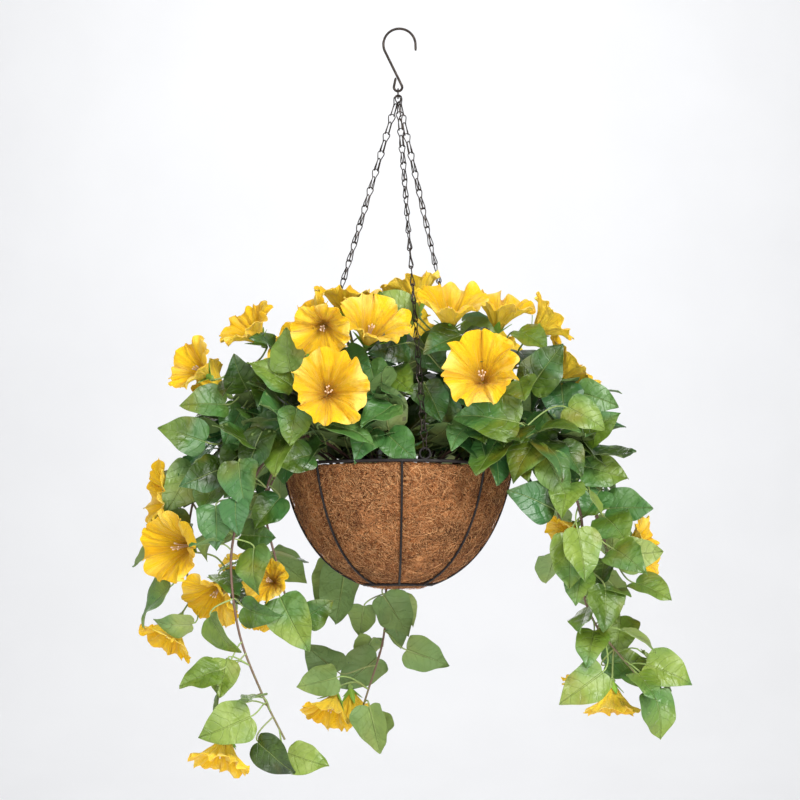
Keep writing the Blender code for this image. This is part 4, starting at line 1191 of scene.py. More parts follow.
STEMS: dict[str, Stem] = {
    "trailing_stem_left_1": Stem(
        route=(
            (-45, -40, -530), (-47, -42, -490), (-68, -58, -470), (-98, -80, -460), (-130, -100, -476),
            (-155, -108, -515), (-170, -106, -560), (-174, -104, -605), (-165, -98, -670), (-142, -94, -730),
            (-118, -92, -778),
        ),
        leaves=(
            ((-110, -110, -410), (-150, -125, -380), 0), ((-105, -125, -435), (-110, -150, -470), 0),
            ((-120, -105, -450), (-165, -120, -485), 0), ((-165, -85, -475), (-180, -120, -500), 0),
            ((-185, -95, -495), (-220, -125, -510), 0), ((-190, -75, -510), (-210, -110, -535), 0),
            ((-165, -125, -490), (-160, -140, -535), 0), ((-190, -110, -535), (-185, -130, -575), 0),
            ((-185, -115, -705), (-225, -130, -715), 0), ((-195, -110, -650), (-175, -125, -690), 75),
            ((-180, -110, -715), (-170, -125, -760), 75), ((-155, -115, -765), (-210, -130, -785), 0),
            ((-145, -105, -780), (-110, -120, -810), 60), ((-115, -95, -790), (-75, -115, -800), 0),
            ((-155, -100, -580), (-165, -125, -620), 0), ((-170, -80, -640), (-165, -105, -675), 60),
            ((-75, -125, -450), (-25, -140, -460), 0), ((-90, -110, -480), (-125, -135, -490), 0),
        ),
    ),
    "trailing_stem_left_2": Stem(
        route=(
            (-60, -28, -530), (-62, -29, -490), (-82, -42, -472), (-108, -62, -468), (-132, -72, -495),
            (-144, -74, -535), (-150, -76, -575), (-155, -80, -612),
        ),
        leaves=(
            ((-130, -70, -520), (-145, -95, -555), 0), ((-170, -50, -625), (-175, -85, -655), 0),
            ((-160, -70, -575), (-130, -95, -595), 0), ((-180, -60, -600), (-185, -75, -645), 0),
        ),
    ),
    "trailing_stem_left_3": Stem(
        route=(
            (-68, -8, -530), (-70, -9, -490), (-90, -16, -471), (-116, -31, -469), (-137, -43, -492),
            (-142, -46, -540), (-130, -50, -592), (-122, -50, -622), (-116, -50, -646),
        ),
        leaves=(
            ((-125, -80, -630), (-105, -95, -690), 0), ((-115, -60, -650), (-140, -95, -635), 0),
        ),
    ),
    "trailing_stem_left_4": Stem(
        route=(
            (-60, 20, -530), (-62, 20, -490), (-90, 14, -462), (-130, 4, -446), (-170, -10, -452),
            (-205, -22, -482), (-222, -28, -528), (-228, -28, -580), (-226, -24, -636),
        ),
        leaves=(
            ((-205, -75, -465), (-250, -90, -450), 0), ((-220, -55, -490), (-240, -70, -540), 0),
            ((-240, -45, -570), (-290, -60, -580), 0), ((-230, -70, -610), (-295, -90, -620), 0),
            ((-225, -50, -645), (-270, -65, -650), 0), ((-215, -75, -645), (-215, -100, -685), 0),
        ),
        whorls={7: (150,)},
    ),
    "arching_stem_left": Stem(
        route=(
            (-40, 0, -530), (-42, -1, -490), (-70, -12, -445), (-110, -28, -412), (-150, -42, -388),
            (-180, -48, -380),
        ),
        leaves=(
            ((-185, -70, -425), (-225, -90, -425), 0), ((-160, -80, -410), (-175, -115, -385), 0),
            ((-130, -50, -365), (-140, -80, -335), 0), ((-125, -80, -415), (-155, -110, -405), 0),
            ((-165, -60, -425), (-185, -80, -460), 0), ((-160, -70, -430), (-145, -110, -445), 0),
        ),
    ),
    "trailing_stem_back": Stem(
        route=(
            (-12, 62, -530), (-12, 64, -490), (-14, 95, -466), (-15, 128, -472), (-15, 146, -520),
            (-15, 148, -585), (-14, 142, -635), (-18, 134, -682), (-34, 124, -735), (-44, 118, -766),
        ),
        leaves=(
            ((-60, 130, -595), (-75, 130, -660), 0), ((-75, 150, -590), (-95, 165, -630), 0),
            ((-20, 125, -625), (10, 140, -670), 0), ((-40, 150, -640), (-45, 180, -670), 0),
            ((10, 115, -690), (55, 130, -705), 0), ((-70, 120, -715), (-105, 135, -685), 0),
            ((-25, 140, -700), (-65, 155, -735), 0), ((-75, 95, -740), (-120, 110, -755), 0),
            ((-45, 95, -765), (-60, 110, -820), 0), ((-45, 125, -760), (-15, 140, -805), 0),
        ),
        whorls={3: (110,), 5: (205,)},
    ),
    "trailing_stem_right_1": Stem(
        route=(
            (38, -48, -530), (40, -50, -490), (66, -66, -468), (100, -82, -460), (140, -92, -470),
            (175, -98, -500), (192, -96, -545), (194, -88, -592), (196, -82, -628), (208, -80, -658),
            (228, -80, -684), (252, -76, -712),
        ),
        leaves=(
            ((140, -100, -410), (170, -115, -365), 0), ((135, -120, -400), (120, -160, -405), 0),
            ((180, -90, -430), (215, -105, -450), 0), ((155, -125, -485), (175, -140, -525), 0),
            ((160, -125, -540), (115, -140, -515), 0), ((125, -135, -450), (60, -135, -435), 0),
            ((140, -110, -470), (105, -125, -505), 0), ((135, -70, -445), (160, -105, -465), 0),
            ((135, -90, -475), (145, -120, -505), 0), ((185, -135, -560), (195, -150, -610), 0),
            ((180, -115, -565), (180, -130, -620), 0), ((215, -115, -620), (215, -140, -660), 0),
            ((235, -65, -655), (220, -80, -700), 0), ((205, -95, -665), (195, -125, -695), 0),
            ((235, -65, -685), (280, -80, -680), 0), ((260, -90, -700), (305, -105, -715), 0),
            ((270, -100, -730), (280, -115, -775), 0), ((210, -110, -710), (170, -125, -745), 0),
            ((200, -90, -640), (185, -125, -660), 75), ((225, -110, -580), (245, -150, -595), 0),
            ((175, -75, -535), (160, -110, -560), 0), ((240, -50, -700), (250, -95, -715), 0),
            ((80, -95, -445), (50, -125, -465), 0),
        ),
    ),
    "trailing_stem_right_2": Stem(
        route=(
            (58, -20, -530), (60, -21, -490), (90, -32, -468), (130, -40, -456), (170, -42, -470),
            (202, -42, -508), (218, -42, -556), (232, -42, -606),
        ),
        leaves=(
            ((200, -55, -460), (230, -70, -430), 0), ((200, -50, -490), (245, -65, -500), 0),
            ((215, -60, -515), (185, -95, -530), 0), ((225, -45, -535), (270, -65, -530), 0),
            ((235, -75, -585), (275, -100, -585), 0), ((250, -90, -615), (280, -120, -625), 0),
            ((225, -70, -590), (215, -110, -610), 0), ((220, -70, -545), (240, -110, -565), 0),
        ),
    ),
    "arching_stem_right": Stem(
        route=(
            (56, 6, -530), (58, 6, -490), (85, 0, -452), (120, -10, -428), (155, -18, -412), (185, -22, -405),
        ),
        leaves=(
            ((195, -45, -410), (235, -60, -420), 0),
        ),
    ),
    "trailing_stem_right_3": Stem(
        route=(
            (60, 32, -530), (62, 33, -490), (95, 48, -460), (140, 58, -452), (185, 58, -472), (215, 52, -515),
            (226, 46, -565),
        ),
        whorls={4: (340, 60), 6: (340, 40)},
    ),
    "trailing_stem_back_left": Stem(
        route=(
            (-45, 48, -530), (-47, 50, -490), (-75, 78, -464), (-115, 110, -460), (-148, 132, -500),
            (-160, 138, -560), (-158, 136, -625),
        ),
        whorls={4: (170, 90), 6: (180, 80)},
    ),
    "trailing_stem_back_right": Stem(
        route=(
            (40, 58, -530), (41, 60, -490), (66, 88, -462), (112, 112, -452), (158, 130, -478),
            (186, 138, -530), (190, 138, -592),
        ),
        whorls={4: (20, 100), 6: (100, 10)},
    ),
    "upright_stem_1": Stem(
        route=(
            (-25, -40, -530), (-26, -41, -490), (-36, -60, -440), (-46, -72, -392), (-54, -80, -358),
        ),
        leaves=(
            ((-100, -120, -395), (-95, -135, -350), 0), ((-50, -90, -350), (-20, -115, -370), 0),
            ((-30, -105, -385), (-20, -120, -425), 0), ((-15, -70, -390), (15, -105, -410), 0),
        ),
    ),
    "upright_stem_2": Stem(
        route=(
            (0, -50, -530), (0, -52, -490), (-4, -72, -452), (-8, -86, -420),
        ),
        leaves=(
            ((-5, -115, -430), (-35, -145, -450), 0), ((-5, -90, -405), (-30, -120, -425), 0),
            ((-25, -100, -455), (-45, -125, -485), 0), ((-10, -100, -460), (15, -125, -485), 0),
        ),
    ),
    "upright_stem_3": Stem(
        route=(
            (22, -30, -530), (23, -31, -490), (40, -55, -440), (56, -72, -400), (66, -80, -372),
        ),
        leaves=(
            ((10, -90, -355), (-20, -125, -360), 0), ((65, -100, -355), (30, -125, -370), 0),
            ((25, -95, -400), (45, -120, -435), 0), ((70, -85, -425), (30, -100, -445), 0),
        ),
    ),
    "upright_stem_4": Stem(
        route=(
            (20, 0, -530), (21, 0, -490), (32, -14, -438), (46, -30, -382), (58, -42, -345),
        ),
        leaves=(
            ((15, -70, -335), (-25, -85, -305), 0), ((25, -70, -355), (45, -85, -395), 0),
            ((70, -50, -340), (120, -65, -350), 0),
        ),
    ),
    "upright_stem_5": Stem(
        route=(
            (38, -5, -530), (40, -5, -490), (66, -8, -440), (102, -14, -400), (132, -16, -374),
        ),
        leaves=(
            ((135, -60, -345), (165, -90, -360), 0),
        ),
        whorls={3: (60,)},
    ),
    "upright_stem_6": Stem(
        route=(
            (-20, 0, -530), (-21, 0, -490), (-32, -14, -430), (-44, -28, -375), (-52, -38, -342),
        ),
        whorls={3: (120,)},
    ),
    "upright_stem_7": Stem(
        route=(
            (0, 30, -530), (0, 31, -490), (2, 48, -430), (6, 62, -380), (10, 70, -345),
        ),
        whorls={3: (160,), 4: (350,)},
    ),
    "upright_stem_8": Stem(
        route=(
            (-30, 30, -530), (-31, 31, -490), (-55, 58, -435), (-80, 82, -395), (-98, 98, -375),
        ),
        whorls={3: (180,), 4: (150,)},
    ),
    "upright_stem_9": Stem(
        route=(
            (32, 32, -530), (33, 33, -490), (55, 66, -435), (78, 96, -395), (95, 116, -372),
        ),
        whorls={3: (350,), 4: (30,)},
    ),
}


class LeafFinder:
    """Finds the leaves of a packed stem.

    It tries the same seeded places for each leaf as the frame's own leaves grew from, and keeps the one that
    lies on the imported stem.

    Attributes:
        tries: places tried for each leaf.
        corners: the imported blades' corners, as shares of the length across and along.
        fold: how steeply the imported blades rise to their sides.
        arch: how far they bend down towards the tip, as a share of the length.
        near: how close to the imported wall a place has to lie, in metres.
    """

    tries = 60
    corners = ((0.33, -0.09), (0.45, 0.30))
    fold = 0.22
    arch = 0.20
    near = 0.00015

    def __init__(self, stem_number: int, name: str, node: bpy.types.Object) -> None:
        """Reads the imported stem's vertices."""
        self.number = stem_number
        self.stem = STEMS[name]
        places = np.empty(len(node.data.vertices) * 3, np.float32)
        node.data.vertices.foreach_get("co", places)
        self.places = np.unique(np.round(places.reshape(-1, 3).astype(float), 6), axis=0)

    def strays(
        self, pose: LeafPose, facing: np.ndarray, bank: float, draw: Draw
    ) -> Iterator[LeafPose]:
        """The pose as given, then tries that stray further and further from it.

        Args:
            pose: where the leaf is meant to be.
            facing: the direction that its upper side looks in before it is banked.
            bank: turn about its own length, in degrees.
            draw: source of the draws.

        Yields:
            The tries.
        """
        for attempt in range(self.tries):
            stray = attempt / self.tries
            base = pose.base + draw.normal(0, 0.016 * stray, 3)
            along = unit(pose.along + draw.normal(0, 0.55 * stray, 3))
            side = unit(np.cross(along, facing))
            turn = math.radians(bank + draw.normal(0, 45 * stray))
            up = np.cross(side, along) * math.cos(turn) + side * math.sin(turn)
            yield LeafPose(pose.root, base, along, up, pose.length * (1 - 0.2 * stray))

    def root_on(self, route: np.ndarray, base: np.ndarray) -> np.ndarray:
        """The point that a leaf's stalk grows from: the stem's nearest to its base, then a little back."""
        tenths = np.arange(10)[:, None]
        marks = np.concatenate([a + (b - a) * tenths / 10 for a, b in zip(route[1:], route[2:])])
        nearest = int(np.argmin(np.linalg.norm(marks - base, axis=1)))
        reach = 0.45 * np.linalg.norm(marks[nearest] - base)
        while nearest > 0 and reach > 0:
            reach -= np.linalg.norm(marks[nearest] - marks[nearest - 1])
            nearest -= 1
        return marks[nearest]

    def set_out(self) -> Iterator[Iterator[LeafPose]]:
        """Tries for each leaf that is set out."""
        route = np.array(self.stem.route, float) * MM
        for number, (base, tip, bank) in enumerate(self.stem.leaves):
            draw = np.random.default_rng([11, self.number, number])
            base, tip = np.array(base) * MM, np.array(tip) * MM
            outward = -1 if base[1] < 0.06 else 1
            facing = np.array((0.25 * draw.normal(), outward, 0.35 + 0.25 * draw.normal()))
            length = float(np.linalg.norm(tip - base))
            pose = LeafPose(self.root_on(route, base), base, (tip - base) / length, facing, length)
            yield self.strays(pose, facing, bank + draw.uniform(-18, 18), draw)

    def by_rule(self) -> Iterator[Iterator[LeafPose]]:
        """Tries for each leaf that follows the rule: it leaves the stem at its heading, and droops."""
        number = 0
        for joint, headings in self.stem.whorls.items():
            for back, heading in zip((0.15, 0.5, 0.8), headings):
                draw = np.random.default_rng([13, self.number, number])
                number += 1
                here, before = (np.array(self.stem.route[i], float) for i in (joint, joint - 1))
                root = (here + (before - here) * back) * MM
                turn = math.radians(heading + draw.uniform(-12, 12))
                fall = math.radians(draw.uniform(15, 75))
                out = np.array((math.cos(turn), math.sin(turn), 0.0))
                along = out * math.cos(fall) - UP * math.sin(fall)
                base = root + unit(out + UP * 0.3 + along * 0.3) * draw.uniform(0.018, 0.030)
                facing = out * math.sin(fall) + UP * math.cos(fall)
                pose = LeafPose(root, base, along, facing, draw.uniform(0.044, 0.058))
                yield self.strays(pose, facing, draw.uniform(-30, 30), draw)

    def miss(self, pose: LeafPose) -> float:
        """How far the blade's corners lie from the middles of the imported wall's nearest pairs of vertices."""
        across = np.array([x * s for s in (-1, 1) for x, _ in self.corners] + [0.0])
        along = np.array([y for _ in (-1, 1) for _, y in self.corners] + [1.0])
        points = pose.at(across, along, self.fold * np.abs(across) - self.arch * along * np.abs(along))
        distance = np.linalg.norm(points[:, None] - self.places[None], axis=-1)
        pair = np.argsort(distance, axis=1)[:, :2]
        return float(np.median(np.linalg.norm(self.places[pair].mean(axis=1) - points, axis=1)))

    def found(self) -> list[LeafPose]:
        """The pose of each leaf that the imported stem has."""
        kept = []
        for kind in (self.set_out, self.by_rule):
            for tries in kind():
                miss, pose = min(((self.miss(p), p) for p in tries), key=lambda pair: pair[0])
                if miss < self.near:
                    kept.append(pose)
        return kept


@dataclass(frozen=True)
class LeafMaker:
    """Heart-shaped blades on bowed stalks.

    Attributes:
        rows: points up a blade.
        cols: points across it.
        stalk_steps: points along a stalk.
        row_split: the share of the edge, from the notch on, that the lowest row of points follows.
    """

    rows: int = 20
    cols: int = 13
    stalk_steps: int = 11
    wall: float = 0.00045
    stalk: float = 0.00085
    fold: float = 0.22
    arch: float = 0.20
    row_split: float = 0.28
    vein_step: float = 0.19

    def half_outline(self, lobe: float, width: float, steps: int = 120) -> np.ndarray:
        """(steps, 2) the right edge from the notch round the lobe to the tip, as two Bezier arcs."""
        low = bezier(((0.0, 0.0), (0.13, -lobe), (width, -0.9 * lobe), (width, 0.27)), steps // 2)
        flank = bezier(((width, 0.27), (width, 0.62), (0.20, 0.80), (0.006, 1.0)), steps // 2)
        return np.concatenate([low, flank[1:], flank[-1:]])

    def flat_blade(self, lobe: float, left: float, right: float) -> tuple[np.ndarray, ...]:
        """The blade before it is folded.

        The lowest row follows the outline from the notch to the lobes, and the ends of the rows run up the
        rest of it. A point is midrib + |s| * (edge - midrib) + (1 - t)^2 * (the lowest row - its chord).

        Args:
            lobe: how far the lobes hang below the notch, as a share of the length.
            left: half width on the left.
            right: half width on the right.

        Returns:
            s across, t up, and the flat places across and along, each (rows, cols).
        """
        t, s = np.meshgrid(np.linspace(0, 1, self.rows), np.linspace(-1, 1, self.cols), indexing="ij")
        size = np.abs(s)
        places = []
        for width in (left, right):
            outline = self.half_outline(lobe, width)
            share = np.linspace(0, 1, len(outline))
            chord = [np.interp(self.row_split, share, outline[:, k]) for k in (0, 1)]
            rim = [np.interp(self.row_split + (1 - self.row_split) * t, share, outline[:, k]) for k in (0, 1)]
            low = [np.interp(self.row_split * size, share, outline[:, k]) for k in (0, 1)]
            x = size * rim[0] + (1 - t) ** 2 * (low[0] - size * chord[0])
            y = t + size * (rim[1] - t) + (1 - t) ** 2 * (low[1] - size * chord[1])
            places.append((x, y))
        across = np.where(s < 0, -places[0][0], places[1][0])
        return s, t, across, np.where(s < 0, places[0][1], places[1][1])

    def blade(self, pose: LeafPose, draw: Draw) -> tuple[np.ndarray, np.ndarray]:
        """One blade's middle surface and its pattern coordinates.

        Its height is fold * |across| - arch * along^2, plus a puff between the side veins, a ripple that
        grows towards the edge, a twist, and a curl at the tip. The edge also wanders in the blade's plane.
        """
        lobe, left, right = draw.uniform((0.03, 0.38, 0.38), (0.15, 0.48, 0.48))
        s, t, across, along = self.flat_blade(lobe, left, right)
        bend, twist, wave, curl = draw.uniform((-0.10, -0.22, 0.018, -0.6), (0.10, 0.22, 0.056, 0.9))
        phase = draw.uniform(0, 2 * math.pi, 4)
        edge = np.abs(s) ** 3
        hand = np.sign(s)
        wander = 0.022 * np.sin(9 * t + phase[0] + 2 * hand) + 0.013 * np.sin(17 * t + phase[1] - hand)
        x = across * (1 + wander * edge / 0.45) + bend * np.clip(along, 0, 1) ** 2
        fold = self.fold * draw.uniform(0.6, 1.25)
        lift = fold * (np.sqrt(across**2 + 0.03**2) - 0.03) - self.arch * along * np.abs(along)
        vein = (along - 0.50 * np.abs(across) - 0.75 * across**2) / self.vein_step
        lift = lift + 0.021 * np.abs(np.sin(math.pi * vein)) * np.clip(2.2 * np.abs(s), 0, 1) * (1 - edge)
        lift = lift + wave * np.abs(s) ** 2.2 * np.sin(phase[2] + 8 * t + 1.7 * hand)
        lift = lift + 0.6 * wave * edge * np.sin(phase[3] + 15 * t)
        roll = 0.5 * wave * np.sin(phase[0] + 6 * along) * np.cos(phase[1] + 5 * across)
        lift = lift + roll * np.clip(3 * t, 0, 1)
        lift = lift + twist * across * along - curl * np.clip(along - 0.55, 0, 1) ** 2
        return pose.at(x, along, lift), np.stack([across + 0.5, along + 0.15], -1)

    def build(self, poses: Sequence[LeafPose], tones: np.ndarray, draw: Draw) -> Skin:
        """Blades and stalks of several leaves.

        Args:
            poses: the leaves.
            tones: a shade for each.
            draw: for each leaf's own bend.

        Returns:
            Stalks as material 0 and blades as material 1.
        """
        skins, stalks = [], []
        for pose, tone in zip(poses, tones):
            points, uv = self.blade(pose, draw)
            skins.append(sheets(points[None], self.wall, uv, np.full((1, 1, 1), tone), slot=1))
            reach = float(np.linalg.norm(pose.base - pose.root))
            first = pose.root + (pose.base - pose.root) * 0.35 + UP * (0.10 * reach)
            second = pose.base - pose.along * (0.35 * reach) - pose.up * (0.06 * reach)
            line = bezier((pose.root, first, second, pose.base), self.stalk_steps)
            rib = points[1 : self.rows * 2 // 3 : 2, self.cols // 2] - pose.up * (self.wall * 0.9)
            stalks.append(np.concatenate([line[:-1], rib]))
        taper = np.linspace(0.85, 0.25, len(stalks[0]) - self.stalk_steps + 1)
        thick = np.concatenate([np.full(self.stalk_steps - 1, self.stalk), taper * self.stalk])
        shade = 0.72 + 0.25 * tones[:, None] + np.zeros(len(thick))
        return joined([tubes(np.array(stalks), thick, 6, tone=shade), *skins])


# ---------------------------------------------------------------- blooms


@dataclass(frozen=True)
class BloomPose:
    """Where a bloom is: the foot of its trumpet, its axis, two directions square to that, and its size."""

    base: np.ndarray
    axis: np.ndarray
    across: np.ndarray
    beside: np.ndarray
    size: float

    def turned(self, angle: np.ndarray, radius: np.ndarray, depth: np.ndarray) -> np.ndarray:
        """Points from a turn, a distance off the axis and a depth along it."""
        ring = np.cos(angle)[..., None] * self.across + np.sin(angle)[..., None] * self.beside
        return self.base + (ring * radius[..., None] + depth[..., None] * self.axis) * self.size


MOUTH_RADIUS = 0.0410


def read_bloom(node: bpy.types.Object) -> BloomPose:
    """A bloom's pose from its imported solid.

    The trumpet has fivefold symmetry, so its vertices' mean lies on its axis, and the axis is the direction
    that they spread least along. The vertices furthest from it are the tips of the lobes.
    """
    places = np.empty(len(node.data.vertices) * 3, np.float32)
    node.data.vertices.foreach_get("co", places)
    places = np.unique(np.round(places.reshape(-1, 3).astype(float), 6), axis=0)
    centre = places.mean(axis=0)
    axis = np.linalg.svd(places - centre)[2][2]
    depth = (places - centre) @ axis
    off = (places - centre) - depth[:, None] * axis
    radius = np.linalg.norm(off, axis=1)
    mouth = radius > 0.75 * radius.max()
    if depth[mouth].mean() < 0:
        axis, depth = -axis, -depth
    foot = radius < 0.2 * radius.max()
    base = centre + axis * depth[foot].mean()
    across = unit(off[int(np.argmax(radius))])
    return BloomPose(base, axis, across, np.cross(axis, across), float(radius[mouth].mean() / MOUTH_RADIUS))


@dataclass(frozen=True)
class Petunia:
    """One trumpet bloom with its stamens, calyx and flower stalk."""

    around: int = 168
    out: int = 16
    wall: float = 0.00035
    foot: tuple = (0.0, 0.0006)
    throat: tuple = (0.014, 0.0105)
    flare: tuple = (0.037, 0.0200)
    mouth: tuple = (0.044, 0.0378)
    dip: float = 0.0024
    notch: float = 0.060
    frill: float = 0.045
    ruffles: tuple = ((5, 0.0010), (7, 0.0017), (9, 0.0022), (12, 0.0022), (16, 0.0017), (23, 0.0010))
    deepest: float = 1.1
    stamens: int = 6
    room: float = 0.007
    behind: float = -0.012
    in_front: float = 0.075

    def profile(self, steps: int) -> np.ndarray:
        """(steps, 2) depth and radius of the trumpet, as one Bezier arc."""
        return bezier((self.foot, self.throat, self.flare, self.mouth), steps)

    def holds(self, pose: BloomPose, points: np.ndarray) -> bool:
        """Whether any of the points is inside the trumpet, close outside it or just in front of its mouth."""
        depth = (points - pose.base) @ pose.axis / pose.size
        off = np.linalg.norm(points - pose.base - depth[:, None] * pose.axis * pose.size, axis=1) / pose.size
        line = self.profile(30)
        near = off < np.interp(depth, line[:, 0], line[:, 1]) + self.room
        return bool((near & (depth > self.behind) & (depth < self.in_front)).any())

    def corolla(self, pose: BloomPose, draw: Draw) -> Skin:
        """The petals.

        With lobe = 2 * |cos(2.5 * angle)|^0.55 - 1, which is 1 in the middle of a petal and -1 in the notch,
        the rim's radius grows by the lobe's share and its depth falls by the dip. Eleven uneven scallops,
        each an arch of a sine, cut the rim finer. Folds are arches too, with creases between that grow out
        from the trumpet's foot, and a tanh limits how deep a crease goes. Ruffles are sine waves, strongest
        at the rim, that move it along the axis and, out of step, in and out. Fine pleats run down the
        outside, and the cloth is a little lumpy.
        """
        turn = 2 * math.pi * np.arange(self.around) / self.around
        v, turn = np.meshgrid(np.linspace(0, 1, self.out), turn, indexing="ij")
        line = self.profile(self.out)
        depth, radius = line[:, :1], line[:, 1:]
        phase = draw.uniform(0, 2 * math.pi, 9)
        skew = turn + 0.13 * np.sin(turn + phase[0]) + 0.07 * np.sin(3 * turn + phase[1])
        lobe = 2 * np.abs(np.cos(2.5 * skew)) ** 0.55 - 1
        lean = 0.05 * np.sin(turn + phase[2]) + 0.05 * np.sin(2 * turn + phase[3])
        uneven = turn + 0.16 * np.sin(2 * turn + phase[3]) + 0.07 * np.sin(5 * turn + phase[5])
        frill = self.frill * (2 * np.abs(np.sin(5.5 * uneven + phase[8])) ** 0.6 - 1)
        waves, swing = np.zeros_like(turn), np.zeros_like(turn)
        for turns, size in self.ruffles:
            start = draw.uniform(0, 2 * math.pi)
            grown = size * draw.uniform(0.6, 1.4)
            waves += grown * np.sin(turns * turn + start)
            swing += grown * np.sin(turns * turn + start + draw.uniform(0.8, 2.4))
        fold = 1.5 * np.abs(np.cos(2.5 * skew)) ** 0.8 + 1.3 * np.abs(np.sin(4 * uneven + phase[4]))
        fold += 0.9 * np.abs(np.sin(6.5 * skew + phase[6])) - 2.4
        fold = np.where(fold < 0, self.deepest * np.tanh(fold / self.deepest), fold)
        grow = np.minimum(v / 0.62, 1.0) ** 1.8 * (1.1 - 0.25 * v)
        lump = np.sin(6 * turn + 7 * v + phase[6]) * np.sin(11 * v + 2 * turn + phase[7]) * v
        pleat = 0.00050 * np.sin(27 * turn + 2 * np.sin(3 * turn)) + 0.00032 * np.sin(41 * turn + phase[6])
        radius = radius * (1 + (self.notch * lobe + lean) * v**2.5 + frill * v**5)
        radius = radius + 0.55 * swing * v**3.5 - 0.0007 * fold * grow
        depth = depth - self.dip * lobe * v**2.5 - 0.035 * frill * v**4
        depth = depth + 0.6 * waves * v**3 + 0.0035 * fold * grow + pleat * v + 0.0022 * lump
        angle = turn + (0.09 * np.sin(7 * turn + phase[7]) + 0.05 * np.sin(13 * turn + phase[8])) * v**3
        points = pose.turned(angle, radius, depth)[None]
        # The tone is highest down in a crease; the petal finish turns it into painted shade.
        crease = np.clip(0.42 - 0.42 * fold, 0, 1)[None]
        uv = 0.5 + 0.5 * v[..., None] * np.stack([np.cos(turn), np.sin(turn)], -1)
        return sheets(points[:, :, ::-1], self.wall, uv[:, ::-1], crease[:, :, ::-1], wrapped=True)

    def heart(self, pose: BloomPose, draw: Draw) -> Skin:
        """The stamens: thin stalks that splay from the throat, each with a plump end."""
        lines, ends = [], []
        for number in range(self.stamens):
            angle = np.array(2 * math.pi * number / self.stamens + draw.uniform(-0.3, 0.3))
            splay, reach = draw.uniform(0.0014, 0.0034), draw.uniform(0.026, 0.032)
            depth = np.linspace(0.010, reach, 8)
            radius = 0.0010 + splay * np.linspace(0, 1, 8) ** 2
            line = pose.turned(np.broadcast_to(angle, depth.shape), radius, depth)
            lines.append(line)
            tip = unit(line[-1] - line[-2])
            ends.append(line[-1] + tip * np.linspace(-0.0014, 0.0020, 6)[:, None] * pose.size)
        plump = 0.0011 * pose.size * np.array((0.3, 0.85, 1.0, 0.95, 0.7, 0.25))
        stalks = tubes(np.array(lines), 0.00045 * pose.size, 5, slot=1)
        return joined([stalks, tubes(np.array(ends), plump, 6, slot=1)])

    def build(self, node: str, pose: BloomPose, seed: int, petal: Material, stamen: Material) -> None:
        """Makes the bloom in place of its node."""
        draw = np.random.default_rng([19, seed])
        skin = joined([self.corolla(pose, draw), self.heart(pose, draw)])
        mount(make_piece(f"{node}_petals", skin, [petal, stamen], crease=75.0), Body.BASKET, Slot.PETAL, node)

    def stalk(self, joint: np.ndarray, pose: BloomPose) -> Skin:
        """The flower stalk, bowed out behind the bloom, and the cup under the trumpet."""
        end = pose.base - pose.axis * (0.008 * pose.size)
        bow = joint + (end - joint) * 0.55 - pose.axis * (0.22 * np.linalg.norm(end - joint))
        line = through(np.array([joint, bow, end, pose.base - pose.axis * 0.0006]), 9)
        share = np.linspace(0, 1, len(line))
        radius = np.interp(share, (0, 0.60, 0.70, 0.85, 1), (0.0011, 0.0010, 0.0014, 0.0027, 0.0034))
        return tubes(line, radius, 9, tone=np.interp(share, (0, 0.3, 1), (0.55, 0.8, 1.0)))

    def calyx(self, pose: BloomPose, draw: Draw) -> Skin:
        """Five sepals that hug the trumpet and lift off it at their tips.

        A sepal's half width is a sine of its length, pointed at the end. Its distance off the axis is the
        trumpet's radius at that depth, a small gap, the first quarter wave of a sine of its length, and a
        share of the length cubed.
        """
        rows, cols = 9, 5
        t, s = np.meshgrid(np.linspace(0, 1, rows), np.linspace(-1, 1, cols), indexing="ij")
        line = self.profile(60)
        blades = []
        for number in range(5):
            long, flare = draw.uniform(0.016, 0.023), draw.uniform(0.001, 0.007)
            depth = -0.0015 + long * t
            radius = np.interp(depth, line[:, 0], line[:, 1]) + 0.0010
            radius = radius + 0.0030 * np.sin(math.pi * t / 2) + flare * t**3
            half = 0.0046 * np.sin(math.pi * (0.14 + 0.86 * t) ** 0.8) ** 0.8 + 0.0002
            turn = math.pi / 5 + 2 * math.pi * number / 5 + s * np.minimum(half / radius, 0.62)
            blades.append(pose.turned(turn[:, ::-1], radius - 0.0006 * np.abs(s) * t, depth))
        uv = np.stack([s / 2 + 0.5, t], -1)
        return sheets(np.array(blades), 0.0005, uv, np.full((5, 1, 1), 0.5), slot=2)


# ---------------------------------------------------------------- the plant


# Which stem each bloom grows from, and at which point of its route.
BLOOMS: tuple[tuple[str, int], ...] = (
    ("upright_stem_1", 3), ("upright_stem_3", 4), ("upright_stem_1", 4), ("upright_stem_1", 4),
    ("upright_stem_6", 4), ("upright_stem_6", 4), ("arching_stem_left", 5), ("arching_stem_left", 5),
    ("arching_stem_left", 5), ("trailing_stem_left_4", 5), ("trailing_stem_left_4", 6),
    ("trailing_stem_left_4", 7), ("trailing_stem_left_3", 6), ("trailing_stem_left_3", 6),
    ("trailing_stem_left_4", 8), ("trailing_stem_left_1", 9), ("trailing_stem_back", 8),
    ("trailing_stem_back", 8), ("upright_stem_4", 4), ("upright_stem_4", 4), ("upright_stem_4", 4),
    ("upright_stem_5", 4), ("upright_stem_5", 4), ("trailing_stem_right_2", 4),
    ("trailing_stem_right_2", 6), ("trailing_stem_right_1", 10), ("trailing_stem_right_1", 9),
    ("upright_stem_8", 4), ("upright_stem_9", 4), ("upright_stem_7", 4), ("trailing_stem_back_left", 5),
)


